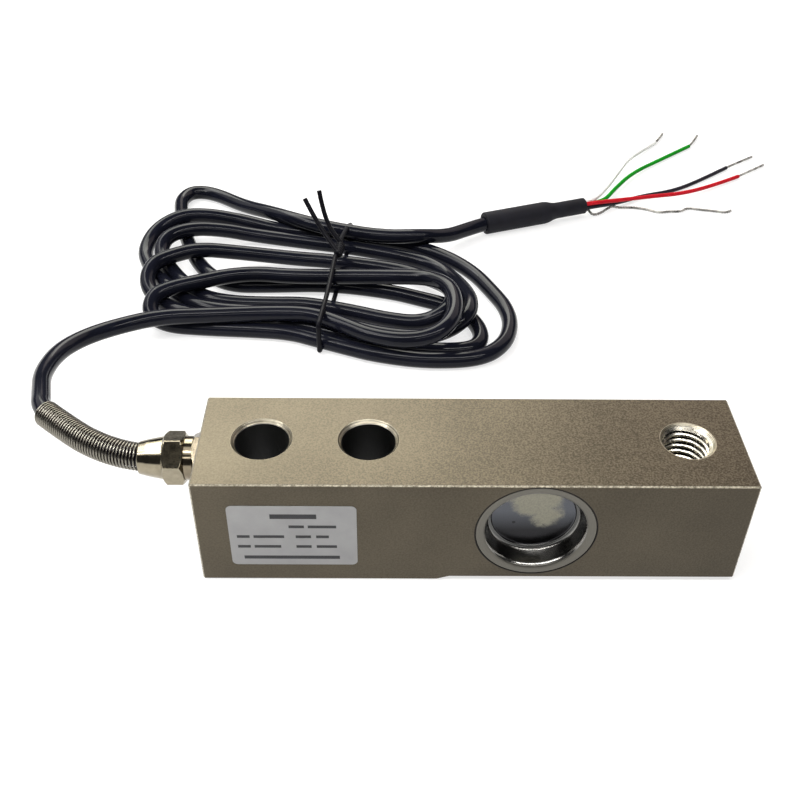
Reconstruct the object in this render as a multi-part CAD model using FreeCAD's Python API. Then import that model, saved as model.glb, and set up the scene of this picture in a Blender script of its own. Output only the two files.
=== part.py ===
import FreeCAD, Part
import math
import os

from FreeCAD import Rotation, Vector

# Single-ended shear beam load cell with its cable gland, spring strain relief and tied cable hank.
# Frame in millimetres: origin on the fixing pad midway between the two fixing holes,
# +X along the beam to the load end, +Y away from the label side, +Z up.

# Beam
BEAM_WIDTH = 31.8
BEAM_HEIGHT = 31.8
EDGE_BREAK = 0.4
FIXING_SETBACK = 15.0
FIXING_PITCH = 25.4
FIXING_R = 6.5
FIXING_CHAMFER = 0.9
LOAD_SPAN = 76.2
LOAD_SETBACK = 13.4
LOAD_R = 6.0
LOAD_CHAMFER = 0.6
PAD_LENGTH = 57.2
RELIEF_DEPTH = 1.0
RELIEF_RUNOUT = 3.0

# Gauge pockets and their sealing cups
POCKET_SETBACK = 80.0
POCKET_HEIGHT = 16.9
WEB_THICKNESS = 3.0
CUP_MOUTH_R = 11.85
CUP_FLANGE_WIDTH = 2.35
CUP_SHEET = 0.5
CUP_DRAFT = 0.65
CUP_RIM_WIDTH = 1.0
CUP_STEP_RUN = 0.3
CUP_STEP_DEPTH = 0.4
CUP_CLEARANCE = 0.15
CUP_SEAT_GAP = 0.15
CUP_WIRE_GAP = 0.05

# Strain gauges, sealant, bridge board and the wires behind the cups
GAUGE_WIDTH = 7.0
GAUGE_CARRIER = 0.12
GRID_LENGTH = 3.4
GRID_WIDTH = 2.0
GRID_GAP = 0.04
GRID_FOIL = 0.06
SEALANT_GAP = 1.7
FRONT_SEALANT = 2.5
BOARD_GAP = 2.3
BOARD_THICKNESS = 1.2
RESISTOR_LENGTH = 3.2
RESISTOR_WIDTH = 1.6
RESISTOR_HEIGHT = 0.9
RESISTOR_OFFSET = 5.2
RESISTOR_SPACING = 4.4
CROSS_HOLE_OFFSET = 8.6
CROSS_HOLE_CLEARANCE = 0.55
LEAD_R = 0.25
LEAD_SPACING = 1.4
LEAD_OVERLAP = 1.4
LEAD_GAP = 0.04
LEAD_CLEARANCE = 0.1
TAB_MARGIN = 0.07
CORE_R = 0.45
CORE_GAP = 0.02
CORE_SIDE_SHIFT = 0.35
CORE_REACH = 6.0
CHANNEL_CLEARANCE = 0.05
CHANNEL_WALL = 1.2

# Cable gland and strain relief
GLAND_RISE = 0.3
GLAND_HOLE_R = 4.0
GLAND_HOLE_BEYOND = 1.0
THREAD_CLEARANCE = 0.05
SHANK_LENGTH = 8.0
GASKET_THICKNESS = 0.8
BODY_WALL = 1.0
BODY_HEX_LENGTH = 3.0
SHOULDER_STEP = 0.85
SHOULDER_LENGTH = 2.2
CORE_BORE_CLEARANCE = 0.2
NUT_WALL = 1.2
NUT_THREAD_LENGTH = 4.2
NUT_TRAVEL = 0.4
NUT_HEX_LENGTH = 5.3
NUT_TURN = 11.0
HEX_CHAMFER = 0.7
DOME_STEP = 0.4
DOME_LENGTH = 6.4
DOME_WAIST_WALL = 0.8
DOME_LIP = 0.25
DOME_LIP_RUN = 2.1
JACKET_BEYOND = 0.7
GROMMET_LENGTH = 4.2
GROMMET_WALL = 1.2
GROMMET_NOSE = 1.0
CABLE_CLEARANCE = 0.15
SPRING_WIRE = 0.9
SPRING_PLAY = 0.4
SPRING_FIT = 0.05
SPRING_SEAT_DEPTH = 2.0
SPRING_BENDS = 3

# Cable, hank, sleeve, core wires and tie
CABLE_R = 2.6
RUN_SHARE = 0.45
LEAD_STRAIGHT = 6.8
LEAD_SINK = 0.4
HANK_LAYERS = 2
HANK_BUTT_MARGIN = 1.4
FLOOR_GAP = 0.05
SLEEVE_WALL = 1.5
SLEEVE_NECK_WALL = 0.95
SLEEVE_GRIP_LENGTH = 26.0
SLEEVE_TAPER_LENGTH = 3.0
TAIL_STRAIGHT = 8.5
WIRE_R = 0.7
WIRE_GAP = 0.04
WIRE_CLEARANCE = 0.1
WIRE_ANGLE_STEP = 70.0
WIRE_MIDWAY = 7.0
DRAIN_R = 0.35
TIP_R = 0.3
TIP_STRAIGHT = 2.0
TIE_R = 0.8
TIE_BEND_R = 1.0
TIE_SIDE_GAP = 0.05
TIE_END_BEND_R = 3.0
TIE_GROOVE_CLEARANCE = 0.1
KNOT_R = 1.7
KNOT_LENGTH = 6.5
KNOT_SHARE = 0.39
KNOT_GAP = 1.0
KNOT_FLOAT = 0.15

# Rating label, bare of print
LABEL_LENGTH = 30.1
LABEL_HEIGHT = 19.7
LABEL_SETBACK = 7.75
LABEL_LIFT = 5.55
LABEL_CORNER = 1.3
LABEL_THICKNESS = 0.12

# Beam places worked out from the sizes above
CABLE_END_X = -(FIXING_SETBACK + FIXING_PITCH / 2)
LOAD_X = FIXING_PITCH / 2 + LOAD_SPAN
LOAD_END_X = LOAD_X + LOAD_SETBACK
SIDE_Y = BEAM_WIDTH / 2
WEB_Y = WEB_THICKNESS / 2
POCKET_X = CABLE_END_X + POCKET_SETBACK

# The wire channel passes beside the fixing holes and opens behind the rear cup, over the board
CORE_STEP = CORE_R + CORE_GAP / 2
CHANNEL_R = CORE_STEP * math.sqrt(2) + CORE_R + CORE_SIDE_SHIFT + CHANNEL_CLEARANCE
GLAND_OFFSET = FIXING_R + CHANNEL_WALL + CHANNEL_R
GLAND_HEIGHT = POCKET_HEIGHT + GLAND_RISE
CORE_Y = GLAND_OFFSET - CORE_SIDE_SHIFT
BOARD_TOP_Y = CORE_Y - CORE_STEP - CORE_R - CORE_GAP
CUP_BACK = SIDE_Y - (CORE_Y + CORE_STEP + CORE_R + CUP_WIRE_GAP)
CUP_DEPTH = CUP_BACK - CUP_SHEET - CUP_STEP_DEPTH
CUP_FLANGE_R = CUP_MOUTH_R + CUP_FLANGE_WIDTH
CUP_WALL_R = CUP_MOUTH_R + CUP_SHEET
POCKET_R = CUP_WALL_R + CUP_CLEARANCE
SEALANT_R = POCKET_R - SEALANT_GAP
REAR_SEALANT = BOARD_TOP_Y - BOARD_THICKNESS - WEB_Y
BOARD_R = POCKET_R - BOARD_GAP
GRID_REACH = (GRID_LENGTH + GRID_WIDTH) / 2 * math.cos(math.pi / 4)
TAB_LENGTH = 2 * (LEAD_R + TAB_MARGIN)
GAUGE_LENGTH = 4 * GRID_REACH + 2 * GRID_GAP + 2 * TAB_LENGTH
CROSS_HOLE_R = LEAD_SPACING / 2 + LEAD_R + CROSS_HOLE_CLEARANCE

# Gland places, as distances outwards from the beam's end face
SPRING_BORE_R = CABLE_R + SPRING_PLAY
SPRING_R = SPRING_BORE_R + SPRING_WIRE
GROMMET_R = CABLE_R + GROMMET_WALL
BODY_THREAD_R = GROMMET_R + BODY_WALL
HEX_FLATS = 2 * (BODY_THREAD_R + NUT_WALL)
SHOULDER_AT = GASKET_THICKNESS + BODY_HEX_LENGTH
NUT_AT = SHOULDER_AT + SHOULDER_LENGTH
NUT_SHOULDER_AT = NUT_AT + NUT_THREAD_LENGTH
DOME_AT = NUT_AT + NUT_HEX_LENGTH
MOUTH_AT = DOME_AT + DOME_LENGTH
SPRING_AT = MOUTH_AT - SPRING_SEAT_DEPTH
GROMMET_AT = NUT_SHOULDER_AT - GROMMET_LENGTH
JACKET_AT = GROMMET_AT - JACKET_BEYOND

UP = Vector(0, 0, 1)
OUT = Vector(-1, 0, 0)
GLAND_ORIGIN = Vector(CABLE_END_X, GLAND_OFFSET, GLAND_HEIGHT)

# The lead's route: out of the gland, round the back of the cable end and down to the hank
HANK_HEIGHT = 2 * HANK_LAYERS * CABLE_R
LEAD_END_Z = HANK_HEIGHT - CABLE_R - LEAD_SINK
LEAD_ROUTE = [
    GLAND_ORIGIN + OUT * JACKET_AT,
    GLAND_ORIGIN + OUT * (MOUTH_AT + LEAD_STRAIGHT),
    Vector(-62.0, 15.2, 18.0),
    Vector(-71.5, 22.8, 17.4),
    Vector(-79.0, 35.0, 15.8),
    Vector(-82.8, 52.5, 13.0),
    Vector(-79.0, 67.5, 10.6),
    Vector(-70.0, 78.8, LEAD_END_Z),
    Vector(-57.5, 83.8, LEAD_END_Z),
]

# The hank's plan outline, from the lead round the near side to the tail, and back round the far side
HANK_NEAR_SIDE = [
    (-40.0, 83.8),
    (-16.0, 82.6),
    (4.0, 74.6),
    (29.0, 67.6),
    (48.0, 70.6),
    (58.4, 89.5),
    (55.2, 109.0),
]
HANK_FAR_SIDE = [
    (0.0, 148.0),
    (-35.5, 168.5),
    (-58.0, 181.4),
    (-67.0, 166.0),
    (-72.2, 138.0),
    (-64.5, 103.0),
]
HANK_GAP_NEAR = [(-14.0, 105.4), (8.0, 99.6), (32.0, 96.6)]
HANK_GAP_FAR = (10.0, 106.4)

# The tail's route: from the hank, level with the heat-shrink sleeve, and into it
SLEEVE_GRIP_R = CABLE_R + SLEEVE_WALL
SLEEVE_Z = SLEEVE_GRIP_R + FLOOR_GAP
TAIL_START = Vector(29.5, 142.2, SLEEVE_Z)
SLEEVE_START = Vector(52.5, 153.6, SLEEVE_Z)
SLEEVE_MOUTH = Vector(93.1, 168.5, SLEEVE_Z)

WIRE_RING_R = (WIRE_R + WIRE_GAP / 2) / math.sin(math.radians(WIRE_ANGLE_STEP / 2))
SLEEVE_BORE_R = WIRE_RING_R + WIRE_R + WIRE_CLEARANCE
SLEEVE_NECK_R = SLEEVE_BORE_R + SLEEVE_NECK_WALL

# Each core wire: its angle round the sleeve's axis, its free route and the end of its tinned tip
CORE_WIRES = {
    "white_wire": (
        60,
        [(94.5, 169.7, 5.2), (98.2, 175.0, 4.2), (103.4, 184.4, 3.4), (108.6, 195.2, 2.7), (116.8, 212.3, 1.9),
         (124.4, 222.0, 1.3), (132.5, 231.5, 0.9)],
        (137.8, 241.3, 0.6),
    ),
    "green_wire": (
        335,
        [(94.5, 170.2, 3.6), (101.6, 175.6, 2.8), (106.5, 184.8, 2.3), (116.9, 201.2, 1.5), (131.5, 215.0, 0.9),
         (146.5, 228.2, 0.9)],
        (152.7, 239.5, 0.6),
    ),
    "black_wire": (
        205,
        [(96.1, 168.4, 3.6), (107.0, 175.9, 1.3), (117.0, 182.4, 0.8), (131.0, 186.9, 0.8), (144.6, 196.9, 0.8),
         (157.5, 207.8, 0.9)],
        (171.4, 218.9, 0.6),
    ),
    "red_wire": (
        130,
        [(96.0, 168.7, 5.1), (107.2, 174.2, 3.4), (120.0, 178.6, 2.7), (133.5, 182.9, 1.8), (148.0, 191.2, 1.2),
         (160.5, 200.0, 0.9)],
        (174.2, 211.3, 0.6),
    ),
}
DRAIN_ANGLE = 268
DRAIN_POINTS = [
    (89.0, 167.0, 2.9), (94.2, 168.9, 2.6), (97.8, 166.6, 0.6), (103.5, 169.7, 0.5), (108.5, 173.3, 0.5),
    (114.5, 172.4, 0.5), (121.5, 168.6, 0.5), (130.5, 169.3, 0.5), (138.5, 171.8, 0.5), (145.5, 168.9, 0.5),
    (150.2, 170.8, 0.5),
]

# The wire tie: the corners of its loop round the hank and its two twisted ends
TIE_TOP = HANK_HEIGHT + TIE_R
TIE_BOTTOM = TIE_R + FLOOR_GAP
TIE_NEAR_Y = 78.0 - TIE_BEND_R - TIE_SIDE_GAP
TIE_FAR_Y = 147.5 + TIE_BEND_R + TIE_SIDE_GAP
TIE_LOOP = [
    Vector(-4.6, TIE_NEAR_Y, TIE_TOP),
    Vector(-4.6, TIE_NEAR_Y, TIE_BOTTOM),
    Vector(3.0, TIE_FAR_Y, TIE_BOTTOM),
    Vector(3.0, TIE_FAR_Y, TIE_TOP),
]
TIE_ENDS = [
    [Vector(-7.3, 127.0, 18.0), Vector(-11.8, 130.9, 26.0)],
    [Vector(-5.1, 129.1, 18.0), Vector(-6.9, 132.9, 28.0)],
]


def turned(profile, origin, axis):
    """A solid turned from (radius, distance along the axis) corners."""
    across = UP if abs(axis.z) < 0.5 else Vector(1, 0, 0)
    across = (across - axis * across.dot(axis)).normalize()
    corners = [origin + axis * along + across * radius for radius, along in profile]
    return Part.Face(Part.makePolygon(corners + corners[:1])).revolve(origin, axis, 360)


def prism(corners, extrusion):
    """A straight solid from a closed outline."""
    return Part.Face(Part.makePolygon(corners + corners[:1])).extrude(extrusion)


def block(centre, size):
    """A box about a centre."""
    return Part.makeBox(size.x, size.y, size.z, centre - size / 2)


def corner_radii(route):
    """The bend radius at each inner point of a route, as large as its two runs allow."""
    radii = []
    for before, here, after in zip(route, route[1:], route[2:]):
        arriving = here - before
        leaving = after - here
        half_turn = arriving.getAngle(leaving) / 2
        radii.append(RUN_SHARE * min(arriving.Length, leaving.Length) / math.tan(half_turn))
    return radii


def rounded_path(route, radii):
    """A wire of straight runs joined by tangent arcs of the given radii."""
    edges = []
    reached = route[0]
    for before, here, after, radius in zip(route, route[1:], route[2:], radii):
        arriving = (here - before).normalize()
        leaving = (after - here).normalize()
        half_turn = arriving.getAngle(leaving) / 2
        setback = radius * math.tan(half_turn)
        inward = (leaving - arriving).normalize()
        start = here - arriving * setback
        middle = here + inward * (radius / math.cos(half_turn) - radius)
        end = here + leaving * setback
        edges.append(Part.LineSegment(reached, start).toShape())
        edges.append(Part.Arc(start, middle, end).toShape())
        reached = end
    edges.append(Part.LineSegment(reached, route[-1]).toShape())
    return Part.Wire(edges)


def tube(path, route, radius, bore_r=0):
    """A round solid along a rounded path, bored if a bore is given."""
    rings = [Part.Wire(Part.makeCircle(r, route[0], route[1] - route[0])) for r in (radius, bore_r) if r > 0]
    return path.makePipe(Part.Face(rings))


def bent_wire(points, radius):
    """A round wire along straight runs with sharp bends."""
    sweep = Part.BRepOffsetAPI.MakePipeShell(Part.makePolygon(points))
    sweep.setTransitionMode(1)
    sweep.add(Part.Wire(Part.makeCircle(radius, points[0], points[1] - points[0])))
    sweep.build()
    sweep.makeSolid()
    return sweep.shape()


def rod(start, end, radius):
    """A straight round rod between two points."""
    run = end - start
    return Part.makeCylinder(radius, run.Length, start, run)


def gland_piece(profile):
    """A gland piece turned about the gland's axis; distances run outwards from the beam's end face."""
    return turned(profile, GLAND_ORIGIN, OUT)


def gland_hexagon(start, length, turn):
    """A hexagon about the gland's axis with its corners chamfered at both ends."""
    corner_r = HEX_FLATS / math.sqrt(3)
    face_r = HEX_FLATS / 2
    centre = GLAND_ORIGIN + OUT * start
    angles = [math.radians(turn + 30 + 60 * step) for step in range(6)]
    corners = [centre + Vector(0, math.cos(a), math.sin(a)) * corner_r for a in angles]
    blank = prism(corners, OUT * length)
    limits = [
        (0, start),
        (face_r, start),
        (corner_r, start + HEX_CHAMFER),
        (corner_r, start + length - HEX_CHAMFER),
        (face_r, start + length),
        (0, start + length),
    ]
    return blank.common(gland_piece(limits))


def make_beam():
    """The beam: relieved block, fixing holes, load hole, gauge pockets, wire channel and gland hole."""
    ramp_start = CABLE_END_X + PAD_LENGTH
    ramp_end = ramp_start + RELIEF_RUNOUT
    outline = [
        Vector(CABLE_END_X, -SIDE_Y, 0),
        Vector(ramp_start, -SIDE_Y, 0),
        Vector(ramp_end, -SIDE_Y, RELIEF_DEPTH),
        Vector(LOAD_END_X, -SIDE_Y, RELIEF_DEPTH),
        Vector(LOAD_END_X, -SIDE_Y, BEAM_HEIGHT),
        Vector(CABLE_END_X, -SIDE_Y, BEAM_HEIGHT),
    ]
    beam = prism(outline, Vector(0, BEAM_WIDTH, 0))
    ramp = Part.makeLine(Vector(ramp_start, 0, 0), Vector(ramp_end, 0, RELIEF_DEPTH))
    outer_edges = [edge for edge in beam.Edges if edge.distToShape(ramp)[0] > EDGE_BREAK]
    beam = beam.makeChamfer(EDGE_BREAK, outer_edges)
    cuts = []
    for hole_x in (-FIXING_PITCH / 2, FIXING_PITCH / 2):
        cuts.append(through_hole(hole_x, 0, FIXING_R, 0, FIXING_CHAMFER))
    cuts.append(through_hole(LOAD_X, RELIEF_DEPTH, LOAD_R, LOAD_CHAMFER, LOAD_CHAMFER))
    for side in (-1, 1):
        cuts.append(pocket_cut(side))
    web_front = Vector(POCKET_X - CROSS_HOLE_OFFSET, -WEB_Y, POCKET_HEIGHT)
    cuts.append(rod(web_front, web_front + Vector(0, WEB_THICKNESS, 0), CROSS_HOLE_R))
    cuts.append(rod(GLAND_ORIGIN, Vector(POCKET_X, GLAND_OFFSET, GLAND_HEIGHT), CHANNEL_R))
    hole_depth = SHANK_LENGTH + GLAND_HOLE_BEYOND
    cuts.append(rod(GLAND_ORIGIN, GLAND_ORIGIN - OUT * hole_depth, GLAND_HOLE_R))
    for cut in cuts:
        beam = beam.cut(cut)
    return beam


def through_hole(x, bottom, radius, lower_chamfer, upper_chamfer):
    """The cut of an upright hole through the beam. A fixing hole's lower mouth is square, to leave the pad whole."""
    profile = [(0, bottom)]
    if lower_chamfer > 0:
        profile.append((radius + lower_chamfer, bottom))
    profile += [
        (radius, bottom + lower_chamfer),
        (radius, BEAM_HEIGHT - upper_chamfer),
        (radius + upper_chamfer, BEAM_HEIGHT),
        (0, BEAM_HEIGHT),
    ]
    return turned(profile, Vector(x, 0, 0), UP)


def pocket_cut(side):
    """The cut of one gauge pocket, with the seat for its sealing cup's flange."""
    seat_r = CUP_FLANGE_R + CUP_SEAT_GAP
    depth = SIDE_Y - WEB_Y
    profile = [(0, 0), (seat_r, 0), (seat_r, CUP_SHEET), (POCKET_R, CUP_SHEET), (POCKET_R, depth), (0, depth)]
    return turned(profile, Vector(POCKET_X, side * SIDE_Y, POCKET_HEIGHT), Vector(0, -side, 0))


def make_cup(side):
    """A stamped sealing cup: flat flange, drawn wall, and a floor stepped in behind a narrow rim."""
    rim_r = CUP_MOUTH_R - CUP_DRAFT
    floor_r = rim_r - CUP_RIM_WIDTH
    floor_depth = CUP_DEPTH + CUP_STEP_DEPTH
    profile = [
        (CUP_MOUTH_R, 0),
        (CUP_FLANGE_R, 0),
        (CUP_FLANGE_R, CUP_SHEET),
        (CUP_WALL_R, CUP_SHEET),
        (rim_r + CUP_SHEET, CUP_BACK),
        (0, CUP_BACK),
        (0, floor_depth),
        (floor_r - CUP_STEP_RUN, floor_depth),
        (floor_r, CUP_DEPTH),
        (rim_r, CUP_DEPTH),
    ]
    return turned(profile, Vector(POCKET_X, side * SIDE_Y, POCKET_HEIGHT), Vector(0, -side, 0))


def make_gauge(side):
    """A shear gauge bonded to the web: its carrier and two foil grids at 45 degrees."""
    carrier_centre = Vector(POCKET_X, side * (WEB_Y + GAUGE_CARRIER / 2), POCKET_HEIGHT)
    gauge = block(carrier_centre, Vector(GAUGE_LENGTH, GAUGE_CARRIER, GAUGE_WIDTH))
    grid_y = side * (WEB_Y + GAUGE_CARRIER + GRID_FOIL / 2)
    spread = GRID_REACH + GRID_GAP
    for across, turn in ((-spread, 45), (spread, -45)):
        grid = block(Vector(0, 0, 0), Vector(GRID_LENGTH, GRID_FOIL, GRID_WIDTH))
        grid.Placement = FreeCAD.Placement(
            Vector(POCKET_X + across, grid_y, POCKET_HEIGHT), Rotation(Vector(0, 1, 0), turn)
        )
        gauge = gauge.fuse(grid)
    return gauge


def lead_heights():
    """The heights of the two leads of each gauge."""
    return [POCKET_HEIGHT - LEAD_SPACING / 2, POCKET_HEIGHT + LEAD_SPACING / 2]


def front_lead_routes():
    """The front gauge's leads: along the web, then through the cross hole to the board."""
    run_y = -(WEB_Y + GAUGE_CARRIER + GRID_FOIL + LEAD_GAP + LEAD_R)
    tab_x = POCKET_X - GAUGE_LENGTH / 2 + LEAD_OVERLAP
    hole_x = POCKET_X - CROSS_HOLE_OFFSET
    return [
        [Vector(tab_x, run_y, z), Vector(hole_x, run_y, z), Vector(hole_x, BOARD_TOP_Y - BOARD_THICKNESS, z)]
        for z in lead_heights()
    ]


def rear_lead_routes():
    """The rear gauge's leads: straight from the gauge's tabs to the board."""
    tab_x = POCKET_X + (GAUGE_LENGTH - TAB_LENGTH) / 2
    return [
        [Vector(tab_x, WEB_Y + GAUGE_CARRIER, z), Vector(tab_x, BOARD_TOP_Y - BOARD_THICKNESS, z)]
        for z in lead_heights()
    ]


def make_sealant(side, thickness):
    """The sealant over one gauge, with clear ways for the leads."""
    web = Vector(POCKET_X, side * WEB_Y, POCKET_HEIGHT)
    sealant = Part.makeCylinder(SEALANT_R, thickness, web, Vector(0, side, 0))
    sealant = sealant.cut(make_gauge(side))
    for route in front_lead_routes() + rear_lead_routes():
        sealant = sealant.cut(bent_wire(route, LEAD_R + LEAD_CLEARANCE))
    return sealant


def make_board():
    """The round bridge board that lies on the rear sealant."""
    return Part.makeCylinder(
        BOARD_R, BOARD_THICKNESS, Vector(POCKET_X, BOARD_TOP_Y, POCKET_HEIGHT), Vector(0, -1, 0)
    )


def make_resistors():
    """The trimming resistors on the bridge board, above and below the core wires."""
    chips = []
    for row in (-1, 1):
        for column in (-1, 0, 1):
            centre = Vector(
                POCKET_X + column * RESISTOR_SPACING,
                BOARD_TOP_Y + RESISTOR_HEIGHT / 2,
                POCKET_HEIGHT + row * RESISTOR_OFFSET,
            )
            chips.append(block(centre, Vector(RESISTOR_LENGTH, RESISTOR_HEIGHT, RESISTOR_WIDTH)))
    return Part.makeCompound(chips)


def make_cores():
    """The four insulated cores that run from the cable's end through the channel to the board."""
    start_x = LEAD_ROUTE[0].x
    end_x = POCKET_X - CORE_REACH
    cores = []
    for across in (-CORE_STEP, CORE_STEP):
        for rise in (-CORE_STEP, CORE_STEP):
            y = CORE_Y + across
            z = GLAND_HEIGHT + rise
            cores.append(rod(Vector(start_x, y, z), Vector(end_x, y, z), CORE_R))
    return Part.makeCompound(cores)


def make_gasket():
    """The flat sealing washer between the gland and the beam."""
    gasket_r = HEX_FLATS / 2
    return gland_piece([
        (GLAND_HOLE_R, 0),
        (gasket_r, 0),
        (gasket_r, GASKET_THICKNESS),
        (GLAND_HOLE_R, GASKET_THICKNESS),
    ])


def make_gland_body():
    """The gland body: threaded shank, hexagon, shoulder and the thread for the cap nut, bored for the cable."""
    shank_r = GLAND_HOLE_R - THREAD_CLEARANCE
    shoulder_r = BODY_THREAD_R + SHOULDER_STEP
    thread_end = NUT_SHOULDER_AT - NUT_TRAVEL
    thread_r = BODY_THREAD_R - THREAD_CLEARANCE
    spindle = gland_piece([
        (0, -SHANK_LENGTH),
        (shank_r, -SHANK_LENGTH),
        (shank_r, SHOULDER_AT),
        (shoulder_r, SHOULDER_AT),
        (shoulder_r, NUT_AT),
        (thread_r, NUT_AT),
        (thread_r, thread_end),
        (0, thread_end),
    ])
    core_bore_r = CHANNEL_R + CORE_BORE_CLEARANCE
    jacket_bore_r = CABLE_R + CABLE_CLEARANCE
    seat_r = GROMMET_R + THREAD_CLEARANCE
    bore = gland_piece([
        (0, -SHANK_LENGTH),
        (core_bore_r, -SHANK_LENGTH),
        (core_bore_r, JACKET_AT),
        (jacket_bore_r, JACKET_AT),
        (jacket_bore_r, GROMMET_AT),
        (seat_r, GROMMET_AT),
        (seat_r, thread_end),
        (0, thread_end),
    ])
    return spindle.fuse(gland_hexagon(GASKET_THICKNESS, BODY_HEX_LENGTH, 0)).cut(bore)


def make_grommet():
    """The rubber grommet that the cap nut squeezes on to the cable."""
    return gland_piece([
        (CABLE_R, GROMMET_AT),
        (GROMMET_R, GROMMET_AT),
        (GROMMET_R, NUT_SHOULDER_AT - GROMMET_NOSE),
        (GROMMET_R - GROMMET_NOSE / 2, NUT_SHOULDER_AT),
        (CABLE_R, NUT_SHOULDER_AT),
    ])


def make_gland_nut():
    """The cap nut: hexagon and tapered dome, with a seat in its mouth for the spring."""
    seat_r = SPRING_R + SPRING_FIT
    lip_r = seat_r + DOME_LIP
    dome = gland_piece([
        (0, DOME_AT),
        (HEX_FLATS / 2 - DOME_STEP, DOME_AT),
        (seat_r + DOME_WAIST_WALL, MOUTH_AT - DOME_LIP_RUN),
        (lip_r, MOUTH_AT),
        (0, MOUTH_AT),
    ])
    cable_way_r = CABLE_R + CABLE_CLEARANCE
    bore = gland_piece([
        (0, NUT_AT),
        (BODY_THREAD_R, NUT_AT),
        (BODY_THREAD_R, NUT_SHOULDER_AT),
        (cable_way_r, NUT_SHOULDER_AT),
        (cable_way_r, SPRING_AT),
        (seat_r, SPRING_AT),
        (seat_r, MOUTH_AT),
        (0, MOUTH_AT),
    ])
    return gland_hexagon(NUT_AT, NUT_HEX_LENGTH, NUT_TURN).fuse(dome).cut(bore)


def make_spring(radii):
    """The close-wound strain relief spring, as the bent sleeve that its turns fill."""
    bends = LEAD_ROUTE[1:SPRING_BENDS + 1]
    end = (bends[-1] + LEAD_ROUTE[SPRING_BENDS + 1]) / 2
    route = [GLAND_ORIGIN + OUT * SPRING_AT] + bends + [end]
    path = rounded_path(route, radii[:SPRING_BENDS])
    return tube(path, route, SPRING_R, SPRING_BORE_R)


def plan_point(place):
    """A point on the floor."""
    return Vector(place[0], place[1], 0)


def butt_wall(centre, direction):
    """The two plan corners of a hank wall that stands square to a cable."""
    across = Vector(-direction.y, direction.x, 0).normalize() * (CABLE_R + HANK_BUTT_MARGIN)
    foot = plan_point(centre)
    return foot - across, foot + across


def smooth_edge(places):
    """A smooth floor edge through plan places."""
    curve = Part.BSplineCurve()
    curve.interpolate([plan_point(place) for place in places])
    return curve.toShape()


def make_hank():
    """The tied hank as one solid of its outer shape, open in the middle and grooved for the tie."""
    lead_near, lead_far = butt_wall(LEAD_ROUTE[-1], LEAD_ROUTE[-1] - LEAD_ROUTE[-2])
    route = tail_route()
    tail_near, tail_far = butt_wall(route[0], route[1] - route[0])
    near_side = smooth_edge([lead_near] + HANK_NEAR_SIDE + [tail_near])
    far_side = smooth_edge([tail_far] + HANK_FAR_SIDE + [lead_far])
    outline = Part.Wire([
        near_side,
        Part.LineSegment(tail_near, tail_far).toShape(),
        far_side,
        Part.LineSegment(lead_far, lead_near).toShape(),
    ])
    height = UP * HANK_HEIGHT
    hank = Part.Face(outline).extrude(height)
    left, near_middle, right = [plan_point(place) for place in HANK_GAP_NEAR]
    gap = Part.Wire([
        Part.Arc(left, near_middle, right).toShape(),
        Part.Arc(right, plan_point(HANK_GAP_FAR), left).toShape(),
    ])
    hank = hank.cut(Part.Face(gap).extrude(height))
    strap_start, strap_end = TIE_LOOP[1:3]
    groove_r = TIE_R + TIE_GROOVE_CLEARANCE
    across = (strap_end - strap_start).cross(UP).normalize() * groove_r
    corners = [strap_start + across, strap_end + across, strap_end - across, strap_start - across]
    groove = prism([plan_point(corner) for corner in corners], UP * (strap_start.z + groove_r))
    return hank.cut(groove)


def make_tie():
    """The wire tie: a loop round the hank, a twisted knot on top and two free ends."""
    strap_near, strap_far = TIE_LOOP[0], TIE_LOOP[-1]
    along = (strap_near - strap_far).normalize()
    middle = strap_far + (strap_near - strap_far) * KNOT_SHARE
    loop = [middle + along * KNOT_GAP / 2] + TIE_LOOP + [middle - along * KNOT_GAP / 2]
    knot_centre = middle + UP * (KNOT_R - TIE_R + KNOT_FLOAT)
    half_knot = along * KNOT_LENGTH / 2
    pieces = [rod(knot_centre - half_knot, knot_centre + half_knot, KNOT_R)]
    for end_points in TIE_ENDS:
        route = [knot_centre] + end_points
        pieces.append(tube(rounded_path(route, [TIE_END_BEND_R]), route, TIE_R))
    return tube(rounded_path(loop, [TIE_BEND_R] * len(TIE_LOOP)), loop, TIE_R).fuse(pieces)


def sleeve_axis():
    """The sleeve's direction and length."""
    run = SLEEVE_MOUTH - SLEEVE_START
    return Vector(run).normalize(), run.Length


def make_sleeve():
    """The heat-shrink sleeve: wide over the cable's end, shrunk on to the cores."""
    axis, length = sleeve_axis()
    neck_at = SLEEVE_GRIP_LENGTH + SLEEVE_TAPER_LENGTH
    profile = [
        (CABLE_R, 0),
        (SLEEVE_GRIP_R, 0),
        (SLEEVE_GRIP_R, SLEEVE_GRIP_LENGTH),
        (SLEEVE_NECK_R, neck_at),
        (SLEEVE_NECK_R, length),
        (SLEEVE_BORE_R, length),
        (SLEEVE_BORE_R, SLEEVE_GRIP_LENGTH),
        (CABLE_R, SLEEVE_GRIP_LENGTH),
    ]
    return turned(profile, SLEEVE_START, axis)


def tail_route():
    """The tail's route, straight for a little before the sleeve and ending inside it."""
    axis, _ = sleeve_axis()
    return [TAIL_START, SLEEVE_START - axis * TAIL_STRAIGHT, SLEEVE_START + axis * SLEEVE_GRIP_LENGTH]


def wire_route(angle, free_points):
    """A core's route: from the cable's end, through the sleeve and along its free points."""
    axis, _ = sleeve_axis()
    far = UP.cross(axis)
    turn = math.radians(angle)
    start = SLEEVE_START + axis * SLEEVE_GRIP_LENGTH
    start = start + (far * math.cos(turn) + UP * math.sin(turn)) * WIRE_RING_R
    return [start, start + axis * WIRE_MIDWAY] + [Vector(*point) for point in free_points]


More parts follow.
